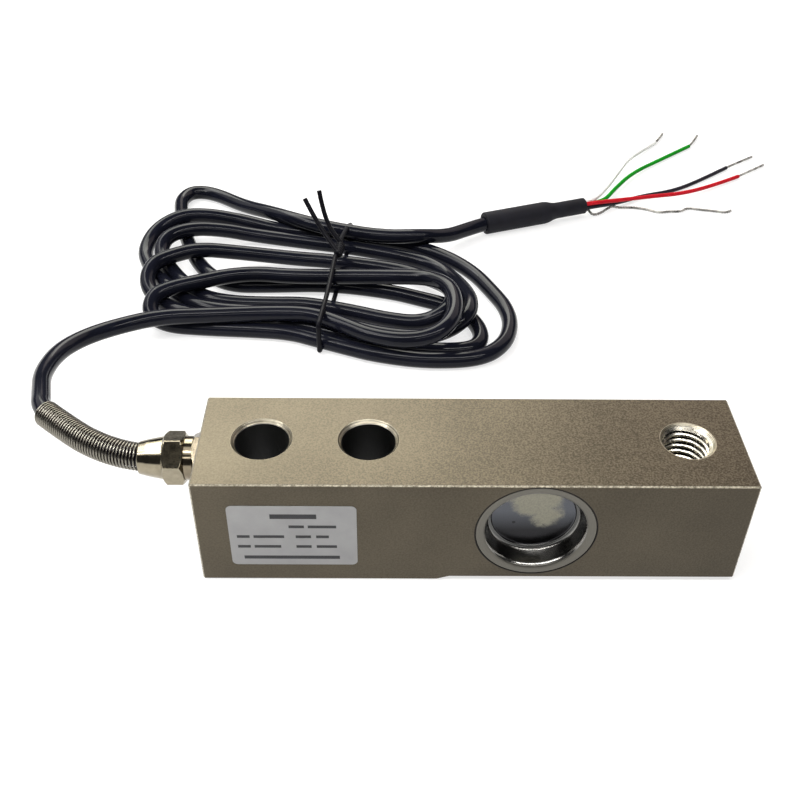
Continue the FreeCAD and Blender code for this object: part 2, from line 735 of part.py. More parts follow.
def make_tip(route, end):
    """A core's tinned end: a little way straight on, then bent to its end point."""
    onward = (route[-1] - route[-2]).normalize()
    return bent_wire([route[-1], route[-1] + onward * TIP_STRAIGHT, Vector(*end)], TIP_R)


def make_label():
    """The blank rating label on the front face."""
    corner = Vector(CABLE_END_X + LABEL_SETBACK, -SIDE_Y - LABEL_THICKNESS, LABEL_LIFT)
    label = Part.makeBox(LABEL_LENGTH, LABEL_THICKNESS, LABEL_HEIGHT, corner)
    short_edges = [edge for edge in label.Edges if edge.BoundBox.YLength > LABEL_THICKNESS / 2]
    return label.makeFillet(LABEL_CORNER, short_edges)


def cord(name, route, radius):
    """A round cord along a route; prints its bend radii and how true its volume is."""
    radii = corner_radii(route)
    path = rounded_path(route, radii)
    solid = tube(path, route, radius)
    ideal = math.pi * radius**2 * path.Length
    bends = ", ".join(f"{bend:.1f}" for bend in radii)
    print(f"{name}: length {path.Length:.1f}, bend radii {bends}, volume ratio {solid.Volume / ideal:.4f}")
    return solid


def build():
    """Every piece of the load cell by name."""
    spring_radii = corner_radii(LEAD_ROUTE)
    leads = [bent_wire(route, LEAD_R) for route in front_lead_routes() + rear_lead_routes()]
    parts = {
        "beam_body": make_beam(),
        "front_seal_cup": make_cup(-1),
        "rear_seal_cup": make_cup(1),
        "front_shear_gauge": make_gauge(-1),
        "rear_shear_gauge": make_gauge(1),
        "front_gauge_sealant": make_sealant(-1, FRONT_SEALANT),
        "rear_gauge_sealant": make_sealant(1, REAR_SEALANT),
        "gauge_leads": Part.makeCompound(leads),
        "bridge_board": make_board(),
        "trim_resistors": make_resistors(),
        "inner_cores": make_cores(),
        "gland_gasket": make_gasket(),
        "gland_body": make_gland_body(),
        "gland_grommet": make_grommet(),
        "gland_nut": make_gland_nut(),
        "strain_relief_spring": make_spring(spring_radii),
        "cable_lead": cord("cable_lead", LEAD_ROUTE, CABLE_R),
        "cable_hank": make_hank(),
        "cable_tail": cord("cable_tail", tail_route(), CABLE_R),
        "wire_tie": make_tie(),
        "heat_shrink_sleeve": make_sleeve(),
        "rating_label": make_label(),
    }
    tips = []
    for name, (angle, free_points, tip_end) in CORE_WIRES.items():
        route = wire_route(angle, free_points)
        parts[name] = cord(name, route, WIRE_R)
        tips.append(make_tip(route, tip_end))
    parts["tinned_tips"] = Part.makeCompound(tips)
    parts["drain_wire"] = cord("drain_wire", wire_route(DRAIN_ANGLE, DRAIN_POINTS), DRAIN_R)
    return parts


os.makedirs("parts", exist_ok=True)
for node, shape in build().items():
    shape.exportStep(f"parts/{node}.step")
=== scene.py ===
"""Looks of a shear beam load cell: nickel-plated beam, sealed gauge pockets, cable gland and tied cable."""
import logging
import math
from collections.abc import Sequence
from dataclasses import dataclass, field
from enum import Enum
from functools import cache

import bmesh
import bpy
from mathutils import Euler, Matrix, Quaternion, Vector


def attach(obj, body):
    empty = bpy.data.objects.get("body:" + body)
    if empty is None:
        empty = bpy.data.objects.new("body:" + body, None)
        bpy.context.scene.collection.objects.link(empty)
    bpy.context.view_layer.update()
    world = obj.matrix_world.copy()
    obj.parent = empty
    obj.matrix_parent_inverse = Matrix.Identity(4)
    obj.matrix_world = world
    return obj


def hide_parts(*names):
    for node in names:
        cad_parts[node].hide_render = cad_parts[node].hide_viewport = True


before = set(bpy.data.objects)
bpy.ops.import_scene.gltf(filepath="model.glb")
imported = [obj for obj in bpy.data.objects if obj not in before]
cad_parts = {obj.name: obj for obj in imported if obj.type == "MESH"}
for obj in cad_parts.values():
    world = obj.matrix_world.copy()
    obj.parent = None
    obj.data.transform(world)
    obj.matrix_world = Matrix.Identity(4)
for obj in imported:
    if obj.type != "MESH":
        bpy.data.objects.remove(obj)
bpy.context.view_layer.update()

log = logging.getLogger("load_cell")
MM = 0.001
# A Wave texture of scale 1 repeats after this length
WAVE_PERIOD = 0.314
# How near two corners lie, in metres, to be merged, and how near a corner lies to its ring
MERGED = 1e-7
ON_RING = 2e-6
Point = tuple[float, float, float]
Colour = tuple[float, float, float]
Span = tuple[float, float]
Socket = bpy.types.NodeSocket
Value = Socket | float | tuple[float, ...] | list[float]


def mm(point: Point) -> Vector:
    """Returns a point given in millimetres as a vector in metres."""
    return Vector(point) * MM


def rgba(colour: Colour) -> tuple[float, float, float, float]:
    """Returns a linear colour with full alpha."""
    return (*colour, 1.0)


class Texture(Enum):
    """The procedural patterns that a finish may read."""

    NOISE = "ShaderNodeTexNoise"
    WAVE = "ShaderNodeTexWave"


class Sheet:
    """One material's node tree, with short ways to lay its nodes."""

    def __init__(self, name: str) -> None:
        """Starts the material with a principled shader.

        Args:
            name: The material's name.
        """
        self.material = bpy.data.materials.new(name + "_finish")
        self.material.use_nodes = True
        self.tree = self.material.node_tree
        self.shader = self.tree.nodes["Principled BSDF"]
        self.output = self.tree.nodes["Material Output"]
        self.place = self.tree.nodes.new("ShaderNodeTexCoord").outputs["Object"]

    def add(
        self, kind: str, inputs: dict[str, Value] | None = None, **settings: str | int
    ) -> bpy.types.Node:
        """Adds a node.

        Args:
            kind: The node's type name.
            inputs: Socket names with a value, or another node's socket to link.
            settings: The node's own settings.

        Returns:
            The new node.
        """
        node = self.tree.nodes.new(kind)
        for name, value in settings.items():
            setattr(node, name, value)
        for name, value in (inputs or {}).items():
            self.feed(node.inputs[name], value)
        return node

    def feed(self, socket: Socket, value: Value) -> None:
        """Links a socket to another node's socket, or sets its value.

        Args:
            socket: The socket to feed.
            value: The other node's socket, or the value.
        """
        if isinstance(value, Socket):
            self.tree.links.new(value, socket)
        else:
            socket.default_value = value

    def split(self, place: Socket) -> bpy.types.NodeOutputs:
        """Returns the X, Y and Z of coordinates."""
        return self.add("ShaderNodeSeparateXYZ", {"Vector": place}).outputs

    def mapped(self, centre: Point = (0, 0, 0), stretch: Point = (1, 1, 1)) -> Socket:
        """Gives Object coordinates about a centre, stretched.

        Args:
            centre: The pattern's centre in millimetres.
            stretch: How much denser the pattern is along each axis.

        Returns:
            The mapped coordinates.
        """
        shift = [-c * MM * s for c, s in zip(centre, stretch)]
        node = self.add("ShaderNodeMapping", {"Vector": self.place, "Location": shift, "Scale": stretch})
        return node.outputs["Vector"]

    def noise(
        self, grain: float, detail: float = 3.0, rough: float = 0.55, place: Socket | None = None
    ) -> Socket:
        """Adds a noise whose features are about one grain across.

        Args:
            grain: The size of its features in millimetres.
            detail: How many finer layers it has.
            rough: How strong those layers are.
            place: The coordinates, if not Object.

        Returns:
            The noise's factor.
        """
        inputs = {
            "Vector": place or self.place,
            "Scale": 1 / (grain * MM),
            "Detail": detail,
            "Roughness": rough,
        }
        return self.add(Texture.NOISE.value, inputs).outputs["Fac"]

    def spread(
        self, source: Socket, low: Value, high: Value, near: float = 0.3, far: float = 0.7
    ) -> Socket:
        """Maps a factor from near..far to low..high.

        Args:
            source: The factor.
            low: The value at near, or a socket.
            high: The value at far, or a socket.
            near: Where the range starts.
            far: Where the range ends.

        Returns:
            The mapped value.
        """
        inputs = {"Value": source, "From Min": near, "From Max": far, "To Min": low, "To Max": high}
        return self.add("ShaderNodeMapRange", inputs).outputs["Result"]

    def blend(self, factor: Socket, one: Value, two: Value) -> Socket:
        """Mixes two colours by a factor.

        Args:
            factor: The share of the second colour.
            one: The first colour, or a socket.
            two: The second colour, or a socket.

        Returns:
            The mixed colour.
        """
        node = self.add("ShaderNodeMix", data_type="RGBA")
        sockets = [s for s in node.inputs if s.enabled]
        self.feed(sockets[0], factor)
        self.feed(sockets[1], one)
        self.feed(sockets[2], two)
        return next(s for s in node.outputs if s.enabled)

    def total(self, one: Socket, two: Socket, share: Value) -> Socket:
        """Adds a share of the second factor to the first.

        Args:
            one: The first factor.
            two: The second factor.
            share: The share of the second, or a socket.

        Returns:
            The sum.
        """
        node = self.add("ShaderNodeMath", operation="MULTIPLY_ADD")
        self.feed(node.inputs[0], two)
        self.feed(node.inputs[1], share)
        self.feed(node.inputs[2], one)
        return node.outputs["Value"]

    def reckon(self, operation: str, one: Value, two: Value = 0.0) -> Socket:
        """Works out a sum.

        Args:
            operation: The Math node's operation.
            one: The first number, or a socket.
            two: The second number, or a socket.

        Returns:
            The result.
        """
        node = self.add("ShaderNodeMath", operation=operation)
        self.feed(node.inputs[0], one)
        self.feed(node.inputs[1], two)
        return node.outputs["Value"]

    def reach(self, centre: Point, axis: str) -> Socket:
        """Gives the distance from a line along an axis, in metres.

        Args:
            centre: A point of the line in millimetres.
            axis: The line's axis.

        Returns:
            The distance.
        """
        flat = tuple(0.0 if name == axis else 1.0 for name in "XYZ")
        node = self.add("ShaderNodeVectorMath", {"Vector": self.mapped(centre, flat)}, operation="LENGTH")
        return node.outputs["Value"]

    def within(self, distance: Socket, limit: float, blur: float = 0.12) -> Socket:
        """Gives 1 up to a distance and 0 past it.

        Args:
            distance: The distance in metres.
            limit: Where it ends, in millimetres.
            blur: How softly, in millimetres.

        Returns:
            The factor.
        """
        return self.spread(distance, 1.0, 0.0, limit * MM, (limit + blur) * MM)

    def edges(self, low: Point, high: Point, width: float, blur: float = 0.08) -> Socket:
        """Gives 1 on the broken edges of a block and 0 on its faces.

        Args:
            low: The block's lowest corner in millimetres.
            high: Its highest corner.
            width: The width of the broken edges in millimetres.
            blur: How softly they start, in millimetres.

        Returns:
            The factor.
        """
        centre = tuple((a + b) / 2 for a, b in zip(low, high))
        middle = self.split(self.mapped(centre))
        beyond = []
        for axis, a, b in zip("XYZ", low, high):
            side = self.reckon("ABSOLUTE", middle[axis])
            beyond.append(self.reckon("SUBTRACT", side, ((b - a) / 2 - width) * MM))
        x, y, z = beyond
        either = self.reckon("MINIMUM", self.reckon("MAXIMUM", x, y), z)
        second = self.reckon("MAXIMUM", self.reckon("MINIMUM", x, y), either)
        return self.spread(second, 0.0, 1.0, 0.0, blur * MM)

    def bump(self, height: Socket, strength: float, depth: float, normal: Socket | None = None) -> None:
        """Lets a height roughen the surface.

        Args:
            height: The height's factor.
            strength: The bump's strength.
            depth: The height's full depth in millimetres.
            normal: The normal to start from, if not the surface's own.
        """
        node = self.add("ShaderNodeBump", {"Height": height, "Strength": strength, "Distance": depth * MM})
        if normal is not None:
            self.feed(node.inputs["Normal"], normal)
        self.feed(self.shader.inputs["Normal"], node.outputs["Normal"])

    def set(self, **values: Value) -> None:
        """Sets or links the shader's sockets, named with _ for a space."""
        for name, value in values.items():
            self.feed(self.shader.inputs[name.replace("_", " ")], value)


@dataclass(frozen=True)
class Finish:
    """A finish of one of the record's slots.

    Attributes:
        name: The material's name.
        slot: The record's slot.
    """

    name: str
    slot: str

    @cache
    def material(self) -> bpy.types.Material:
        """Returns the finish's material, made at its first use."""
        return self.dress()

    def dress(self) -> bpy.types.Material:
        """Makes the material."""
        raise NotImplementedError


@dataclass(frozen=True)
class BlastedNickel(Finish):
    """Nickel plating over fine blasting, bright where it is machined or worn and dark in its bores.

    Attributes:
        Nickel plating over fine blasting, bright where it is machined or worn and dark in its bores, with
        painted shade on its sides that darkens along the beam and painted light on its top face.
        dark: The darker speckle.
        bare: The machined and worn metal.
        gloom: The bores' walls.
        shade: The line round the cups.
        grain: The speckle's size in millimetres.
        cloud: The clouds' size in millimetres.
        roughness: From the smoothest to the dullest speck.
        depth: The blasting's depth in millimetres.
        low: The block's lowest corner in millimetres.
        high: Its highest corner.
        edge: The width of its broken edges.
        coarse_z: The heights between which the speckle grows to that of the top face, and the sides'
            painted shade gives way to the top face's painted light.
        coarse_x: The places between which it grows along the beam.
        painted_shade_x: The places between which the sides' painted shade grows darker.
        side_speckle: How strong the speckle is on the sides.
        top_speckle: How strong it is on the top face, from coarse_x's start to its end.
        side_painted_shade: The sides' painted shade, as a brightness from painted_shade_x's start to its
            end.
        top_painted_light: The top face's painted light, as a brightness.
        cloud_share: How much the clouds add.
        chip: The size of the chips along the edges in millimetres.
        smear: The size of the smears on the chamfers in millimetres.
        ring: The pitch of the turning marks on the chamfers in millimetres.
        bare_roughness: The roughness of the bare metal.
        strength: The strength of the blasting's bump.
        bores: Each upright bore's axis, radius and chamfer's radius.
        seat: A point of the cups' axis, and the radii between which their seats show as a dark line.
    """

    light: Colour = (0.160, 0.137, 0.099)
    dark: Colour = (0.070, 0.060, 0.045)
    bare: Colour = (0.62, 0.57, 0.45)
    gloom: Colour = (0.15, 0.15, 0.15)
    shade: Colour = (0.025, 0.023, 0.022)
    grain: float = 0.44
    cloud: float = 26.0
    roughness: Span = (0.36, 0.5)
    depth: float = 0.05
    low: Point = (-27.7, -15.9, 0.0)
    high: Point = (102.3, 15.9, 31.8)
    edge: float = 0.40
    coarse_z: Span = (31.2, 31.7)
    coarse_x: Span = (-28.0, 90.0)
    painted_shade_x: Span = (-28.0, 60.0)
    side_speckle: float = 0.3
    top_speckle: Span = (0.65, 1.2)
    side_painted_shade: Span = (0.25, 0.04)
    top_painted_light: float = 0.375
    cloud_share: float = 0.25
    chip: float = 0.6
    smear: float = 5.0
    ring: float = 0.22
    bare_roughness: float = 0.32
    strength: float = 0.8
    bores: tuple[tuple[Point, float, float], ...] = (
        ((-12.7, 0, 0), 6.5, 7.32),
        ((12.7, 0, 0), 6.5, 7.32),
        ((88.9, 0, 0), 6.0, 6.6),
    )
    seat: tuple[Point, float, float] = ((52.3, 0, 16.9), 14.15, 14.5)

    def dress(self) -> bpy.types.Material:
        """Makes the material: speckle in colour, roughness and height over the sides' painted shade and the
        top's painted light, then bare metal, bores and seats.

        Returns:
            The material.
        """
        sheet = Sheet(self.name)
        speck = sheet.noise(self.grain, 2.0, 0.6)
        cloud = sheet.noise(self.cloud, 2.0, 0.5)
        place = sheet.split(sheet.place)
        along = sheet.spread(place["X"], *self.top_speckle, *(x * MM for x in self.coarse_x))
        coarse = sheet.spread(place["Z"], self.side_speckle, along, *(z * MM for z in self.coarse_z))
        # Painted shade and light: the sides darken along the beam, and the top face is painted lighter than
        # the sides.
        side = sheet.spread(place["X"], *self.side_painted_shade, *(x * MM for x in self.painted_shade_x))
        level = sheet.spread(place["Z"], side, self.top_painted_light, *(z * MM for z in self.coarse_z))
        tone = sheet.total(level, sheet.spread(speck, -0.5, 0.5, 0.36, 0.64), coarse)
        tone = sheet.total(tone, sheet.spread(cloud, 0.0, 1.0), self.cloud_share)
        colour = sheet.blend(tone, rgba(self.dark), rgba(self.light))
        roughness = sheet.spread(speck, *self.roughness)
        chips = sheet.spread(sheet.noise(self.chip, 3.0, 0.7), 0.22, 0.95, 0.40, 0.65)
        worn = sheet.reckon("MULTIPLY", sheet.edges(self.low, self.high, self.edge), chips)
        smear = sheet.spread(sheet.noise(self.smear, 2.0, 0.5), -0.3, 0.5)
        for centre, _, rim in self.bores:
            reach = sheet.reach(centre, "Z")
            ring = sheet.add("ShaderNodeCombineXYZ", {"X": reach, "Y": centre[0]}).outputs["Vector"]
            marks = sheet.spread(sheet.noise(self.ring, 1.0, 0.5, ring), 0.0, 1.0, 0.42, 0.58)
            marks = sheet.spread(sheet.reckon("ADD", marks, smear), 0.12, 1.0, 0.0, 1.0)
            turned = sheet.reckon("MULTIPLY", sheet.within(reach, rim), marks)
            worn = sheet.reckon("MAXIMUM", worn, turned)
        colour = sheet.blend(worn, colour, rgba(self.bare))
        roughness = sheet.spread(worn, roughness, self.bare_roughness, 0.0, 1.0)
        for centre, wall, _ in self.bores:
            colour = sheet.blend(sheet.within(sheet.reach(centre, "Z"), wall), colour, rgba(self.gloom))
        centre, inner, outer = self.seat
        around = sheet.reach(centre, "Y")
        line = sheet.reckon("SUBTRACT", sheet.within(around, outer), sheet.within(around, inner))
        colour = sheet.blend(line, colour, rgba(self.shade))
        sheet.set(Base_Color=colour, Metallic=1.0, Roughness=roughness)
        sheet.bump(speck, self.strength, self.depth)
        return sheet.material


@dataclass(frozen=True)
class TurnedMetal(Finish):
    """Bright plated metal with fine turning marks round an axis.

    Attributes:
        light: The brighter tone.
        dark: The tone of the smudges.
        centre: A point of the axis in millimetres.
        axis: The axis of the turning.
        pitch: The pitch of the turning marks in millimetres.
        roughness: From the smoothest to the dullest spot.
        depth: The marks' depth in millimetres.
        edge_r: How far the edges look rounded in millimetres, or 0 for sharp ones.
    """

    light: Colour = (0.78, 0.75, 0.69)
    dark: Colour = (0.62, 0.59, 0.53)
    centre: Point = (0, 0, 0)
    axis: str = "X"
    pitch: float = 0.25
    roughness: Span = (0.12, 0.24)
    depth: float = 0.006
    edge_r: float = 0.0

    def dress(self) -> bpy.types.Material:
        """Makes the material: marks round the axis, with smudges and softened edges.

        Returns:
            The material.
        """
        sheet = Sheet(self.name)
        place = sheet.mapped(self.centre)
        rings = sheet.add(
            Texture.WAVE.value,
            {"Vector": place, "Scale": WAVE_PERIOD / (self.pitch * MM), "Distortion": 2.5, "Detail": 3.0},
            wave_type="BANDS",
            bands_direction=self.axis,
        ).outputs["Fac"]
        smudge = sheet.noise(3.0, 4.0, 0.6)
        sheet.set(
            Base_Color=sheet.blend(sheet.spread(smudge, 0.0, 1.0), rgba(self.dark), rgba(self.light)),
            Metallic=1.0,
            Roughness=sheet.spread(sheet.total(smudge, rings, 0.15), *self.roughness),
        )
        rounded = None
        if self.edge_r > 0:
            edge = sheet.add("ShaderNodeBevel", {"Radius": self.edge_r * MM}, samples=8)
            rounded = edge.outputs["Normal"]
        sheet.bump(rings, 0.35, self.depth, rounded)
        return sheet.material


@dataclass(frozen=True)
class ThreadedSteel(Finish):
    """A cut thread: bright crests and roots painted dark as shade.

    Attributes:
        crest: The crests' tone.
        root: The roots' tone, a painted shade.
        centre: A point of the thread's axis in millimetres.
        crest_r: The crests' radius in millimetres.
        root_r: The radius at which it is dark with painted shade.
        mouth_z: The height from which the chamfer cuts the crests.
    """

    crest: Colour = (0.66, 0.62, 0.53)
    root: Colour = (0.03, 0.03, 0.028)
    centre: Point = (88.9, 0, 0)
    crest_r: float = 5.3
    root_r: float = 5.6
    mouth_z: float = 30.35

    def dress(self) -> bpy.types.Material:
        """Makes the material: a tone by the distance from the axis, painted shade towards the roots, with
        smudges.

        Returns:
            The material.
        """
        sheet = Sheet(self.name)
        below = sheet.within(sheet.split(sheet.place)["Z"], self.mouth_z)
        # Painted shade: the thread darkens from its crests to its roots, below the mouth.
        depth = sheet.spread(sheet.reach(self.centre, "Z"), 0.0, below, self.crest_r * MM, self.root_r * MM)
        smudge = sheet.noise(0.8, 3.0, 0.6)
        shade_and_smudge = sheet.reckon("ADD", depth, sheet.spread(smudge, 0.0, 0.35, 0.5, 0.7))
        sheet.set(
            Base_Color=sheet.blend(sheet.reckon("MINIMUM", shade_and_smudge, 1.0), rgba(self.crest), rgba(self.root)),
            Metallic=1.0,
            Roughness=sheet.spread(smudge, 0.2, 0.34),
        )
        sheet.bump(smudge, 0.3, 0.01)
        return sheet.material


@dataclass(frozen=True)
class PressedNickel(Finish):
    """A plated pressing: dull flange, bright-drawn wall and a stained floor, painted darker towards its
    lower edge as shade.

    Attributes:
        flange: The flange's tone.
        wall: The wall's tone.
        step: The tone of the step round the floor.
        floor: The floor's tone.
        floor_painted_shade: The floor's tone towards its lower edge, a painted shade.
        stain: The tone of the floor's dull patch.
        centre: A point of the pressing's axis in millimetres.
        patches: The middles and radii of the two spots that make the dull patch.
        frays: How far the coarse and the fine noise move the patch's edge, in millimetres.
        patch_edge: How far the patch reaches past its spots, and how softly it ends, in millimetres.
        floor_shade_z: The heights from the axis between which the floor's painted shade grows darker, in
            millimetres.
        pit: A small pit's middle and radius, painted in the tone of deep.
        mouth_r: The radius at which the flange starts.
        floor_r: The floor's radius.
        step_r: The step's radius.
    """

    flange: Colour = (0.145, 0.138, 0.12)
    wall: Colour = (0.24, 0.235, 0.225)
    step: Colour = (0.105, 0.105, 0.102)
    floor: Colour = (0.10, 0.105, 0.118)
    floor_painted_shade: Colour = (0.03, 0.03, 0.032)
    stain: Colour = (0.27, 0.26, 0.205)
    centre: Point = (52.3, 0, 16.9)
    patches: tuple[tuple[Point, float], ...] = (((52.7, 0, 22.6), 5.6), ((55.3, 0, 17.0), 3.0))
    frays: Span = (5.0, 1.6)
    patch_edge: Span = (2.6, 2.0)
    floor_shade_z: Span = (1.5, -5.0)
    pit: tuple[Point, float] = ((47.7, 0, 14.5), 0.36)
    mouth_r: float = 12.1
    floor_r: float = 10.1
    step_r: float = 10.85

    def dress(self) -> bpy.types.Material:
        """Makes the material: three zones about the axis, the floor with a patch on its upper half and
        painted shade towards its lower edge.

        Returns:
            The material.
        """
        sheet = Sheet(self.name)
        reach = sheet.reach(self.centre, "Y")
        height = sheet.split(sheet.mapped(self.centre))["Z"]
        one, two = (sheet.reckon("SUBTRACT", sheet.reach(at, "Y"), size * MM) for at, size in self.patches)
        coarse, fine = self.frays
        ragged = sheet.total(sheet.reckon("MINIMUM", one, two), sheet.noise(5.0, 4.0, 0.6), coarse * MM)
        ragged = sheet.total(ragged, sheet.noise(0.9, 3.0, 0.6), fine * MM)
        patch = sheet.within(ragged, *self.patch_edge)
        grain = sheet.noise(0.35, 2.0, 0.6)
        stain = sheet.blend(sheet.spread(grain, 0.0, 0.5), rgba(self.stain), rgba(self.flange))
        # Painted shade: the floor darkens towards its lower edge.
        painted_shade_share = sheet.spread(height, 0.0, 1.0, *(z * MM for z in self.floor_shade_z))
        floor = sheet.blend(painted_shade_share, rgba(self.floor), rgba(self.floor_painted_shade))
        floor = sheet.blend(patch, floor, stain)
        middle, size = self.pit
        floor = sheet.blend(sheet.within(sheet.reach(middle, "Y"), size), floor, rgba(self.floor_painted_shade))
        drawn = sheet.blend(sheet.within(reach, self.step_r), rgba(self.wall), rgba(self.step))
        drawn = sheet.blend(sheet.within(reach, self.floor_r), drawn, floor)
        colour = sheet.blend(sheet.within(reach, self.mouth_r), rgba(self.flange), drawn)
        smooth = sheet.spread(patch, 0.2, 0.34, 0.0, 1.0)
        sheet.set(
            Base_Color=colour,
            Metallic=1.0,
            Roughness=sheet.spread(sheet.within(reach, self.mouth_r), 0.4, smooth, 0.0, 1.0),
        )
        sheet.bump(grain, 0.3, 0.012)
        return sheet.material


@dataclass(frozen=True)
class Polymer(Finish):
    """Rubber, insulation, tape or resin with a faint mottle and a fine skin.

    Attributes:
        light: The brighter tone.
        dark: The darker tone.
        grain: The skin's grain in millimetres.
        roughness: From the smoothest to the dullest spot.
        depth: The skin's depth in millimetres.
        scuff: The share of pale scuffs.
        scuff_size: The scuffs' size in millimetres.
        gloss: The specular level.
        mottle_grains: The mottle's size in grains.
    """

    light: Colour = (0.02, 0.02, 0.021)
    dark: Colour = (0.010, 0.010, 0.011)
    grain: float = 0.5
    roughness: Span = (0.25, 0.4)
    depth: float = 0.01
    scuff: float = 0.0
    gloss: float = 0.3
    scuff_size: float = 1.6
    mottle_grains: float = 14.0

    def dress(self) -> bpy.types.Material:
        """Makes the material: mottled colour, uneven gloss and a fine skin.

        Returns:
            The material.
        """
        sheet = Sheet(self.name)
        skin = sheet.noise(self.grain, 3.0, 0.6)
        mottle = sheet.noise(self.grain * self.mottle_grains, 3.0, 0.6)
        colour = sheet.blend(sheet.spread(mottle, 0.0, 1.0), rgba(self.dark), rgba(self.light))
        if self.scuff > 0:
            worn = sheet.noise(self.scuff_size, 5.0, 0.75)
            pale = tuple(min(1.0, c * 4 + 0.02) for c in self.light)
            colour = sheet.blend(sheet.spread(worn, 0.0, self.scuff, 0.62, 0.8), colour, rgba(pale))
        sheet.set(
            Base_Color=colour,
            Roughness=sheet.spread(mottle, *self.roughness),
            Specular_IOR_Level=self.gloss,
        )
        sheet.bump(skin, 0.4, self.depth)
        return sheet.material


BEAM_NICKEL = BlastedNickel("beam_nickel", "beam_nickel")
THREAD_NICKEL = ThreadedSteel("thread_nickel", "beam_nickel")
CUP_NICKEL = PressedNickel("cup_nickel", "cup_nickel")
GLAND_NICKEL = TurnedMetal(
    "gland_nickel", "gland_nickel", (0.36, 0.32, 0.235), (0.26, 0.23, 0.168),
    centre=(0, 9.2, 17.2), pitch=0.3, roughness=(0.07, 0.14), depth=0.008, edge_r=0.35,
)
# Painted shade: a darker copy of the gland's nickel, for the gland body.
SHADED_GLAND_NICKEL = TurnedMetal(
    "gland_nickel_shaded", "gland_nickel", (0.27, 0.23, 0.165), (0.19, 0.16, 0.115),
    centre=(0, 9.2, 17.2), pitch=0.3, roughness=(0.09, 0.16), depth=0.008, edge_r=0.25,
)
SPRING_STEEL = TurnedMetal(
    "spring_steel", "spring_steel", (0.24, 0.225, 0.195), (0.19, 0.18, 0.15),
    roughness=(0.21, 0.25), depth=0.0005,
)
TINNED_COPPER = TurnedMetal(
    "tinned_copper", "tinned_copper", (0.60, 0.59, 0.56), (0.13, 0.125, 0.12), roughness=(0.2, 0.32)
)
GAUGE_FOIL = TurnedMetal(
    "gauge_foil", "gauge_foil", (0.60, 0.48, 0.30), (0.48, 0.36, 0.22), roughness=(0.3, 0.45)
)
BARE_COPPER = TurnedMetal(
    "bare_copper", "bare_copper", (0.80, 0.42, 0.26), (0.62, 0.30, 0.18), roughness=(0.2, 0.35)
)
SEALANT = Polymer(
    "sealant", "sealant", (0.52, 0.52, 0.50), (0.42, 0.42, 0.40),
    grain=0.8, roughness=(0.3, 0.45), depth=0.03,
)
BOARD = Polymer(
    "board", "board", (0.03, 0.16, 0.07), (0.02, 0.11, 0.05), grain=0.4, roughness=(0.3, 0.45)
)
RESISTOR = Polymer(
    "resistor", "resistor", (0.10, 0.18, 0.32), (0.06, 0.12, 0.24), grain=0.4, roughness=(0.35, 0.5)
)
CORE_INSULATION = Polymer(
    "core_insulation", "core_insulation", (0.55, 0.53, 0.5), (0.45, 0.43, 0.4),
    grain=0.4, roughness=(0.35, 0.5),
)
BLACK_RUBBER = Polymer(
    "black_rubber", "black_rubber", (0.03, 0.03, 0.03), (0.015, 0.015, 0.015),
    grain=0.4, roughness=(0.5, 0.7), depth=0.02,
)
CABLE_JACKET = Polymer(
    "cable_jacket", "cable_jacket", (0.0075, 0.0082, 0.0145), (0.005, 0.0055, 0.0095),
    grain=0.9, roughness=(0.09, 0.15), scuff=0.12, gloss=0.15,
)
TIE_COATING = Polymer(
    "tie_coating", "tie_coating", (0.006, 0.006, 0.009), (0.004, 0.004, 0.006),
    roughness=(0.3, 0.45), gloss=0.08,
)
HEAT_SHRINK = Polymer(
    "heat_shrink", "heat_shrink", (0.011, 0.011, 0.016), (0.007, 0.007, 0.010),
    grain=0.35, roughness=(0.5, 0.68), depth=0.03, gloss=0.14,
)
LABEL_FOIL = Polymer(
    "label_foil", "label_foil", (0.335, 0.335, 0.34), (0.29, 0.29, 0.295),
    roughness=(0.28, 0.4), depth=0.004,
)
LABEL_INK = Polymer(
    "label_ink", "label_foil", (0.035, 0.035, 0.04), (0.02, 0.02, 0.022),
    grain=0.4, roughness=(0.4, 0.55), depth=0.002,
)
WHITE_INSULATION = Polymer(
    "white_insulation", "white_insulation", (0.80, 0.80, 0.79), (0.70, 0.70, 0.70),
    grain=0.6, roughness=(0.35, 0.5),
)
GREEN_INSULATION = Polymer(
    "green_insulation", "green_insulation", (0.002, 0.27, 0.010), (0.002, 0.21, 0.008),
    grain=0.6, roughness=(0.4, 0.55), gloss=0.08,
)
BLACK_INSULATION = Polymer(
    "black_insulation", "black_insulation", (0.013, 0.012, 0.022), (0.008, 0.008, 0.014),
    grain=0.6, roughness=(0.35, 0.5), gloss=0.2,
)
RED_INSULATION = Polymer(
    "red_insulation", "red_insulation", (0.54, 0.010, 0.022), (0.44, 0.008, 0.016),
    grain=0.6, roughness=(0.4, 0.55), gloss=0.1,
)


def keep(piece: bpy.types.Object, finish: Finish, *nodes: str) -> bpy.types.Object:
    """Dresses a new piece, lets it ride and stand for CAD nodes, and reports it.

    Args:
        piece: The new object.
        finish: Its finish.
        nodes: The CAD nodes that it replaces.

    Returns:
        The piece.
    """
    piece.data.materials.clear()
    piece.data.materials.append(finish.material())
    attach(piece, "root")
    if nodes:
        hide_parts(*nodes)
    log.info("%s dressed in %s", piece.name, finish.name)
    return piece


def repaint(node: str, finish: Finish) -> None:
    """Gives a CAD node a finish.

    Args:
        node: The node's name.
        finish: Its finish.
    """
    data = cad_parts[node].data
    data.materials.clear()
    data.materials.append(finish.material())
    log.info("%s keeps its solid, in %s", node, finish.name)


def linked(name: str, data: bpy.types.ID) -> bpy.types.Object:
    """Makes an object in the scene.

    Args:
        name: The object's name.
        data: Its mesh, curve, lamp or camera.

    Returns:
        The object.
    """
    piece = bpy.data.objects.new(name, data)
    bpy.context.scene.collection.objects.link(piece)
    return piece


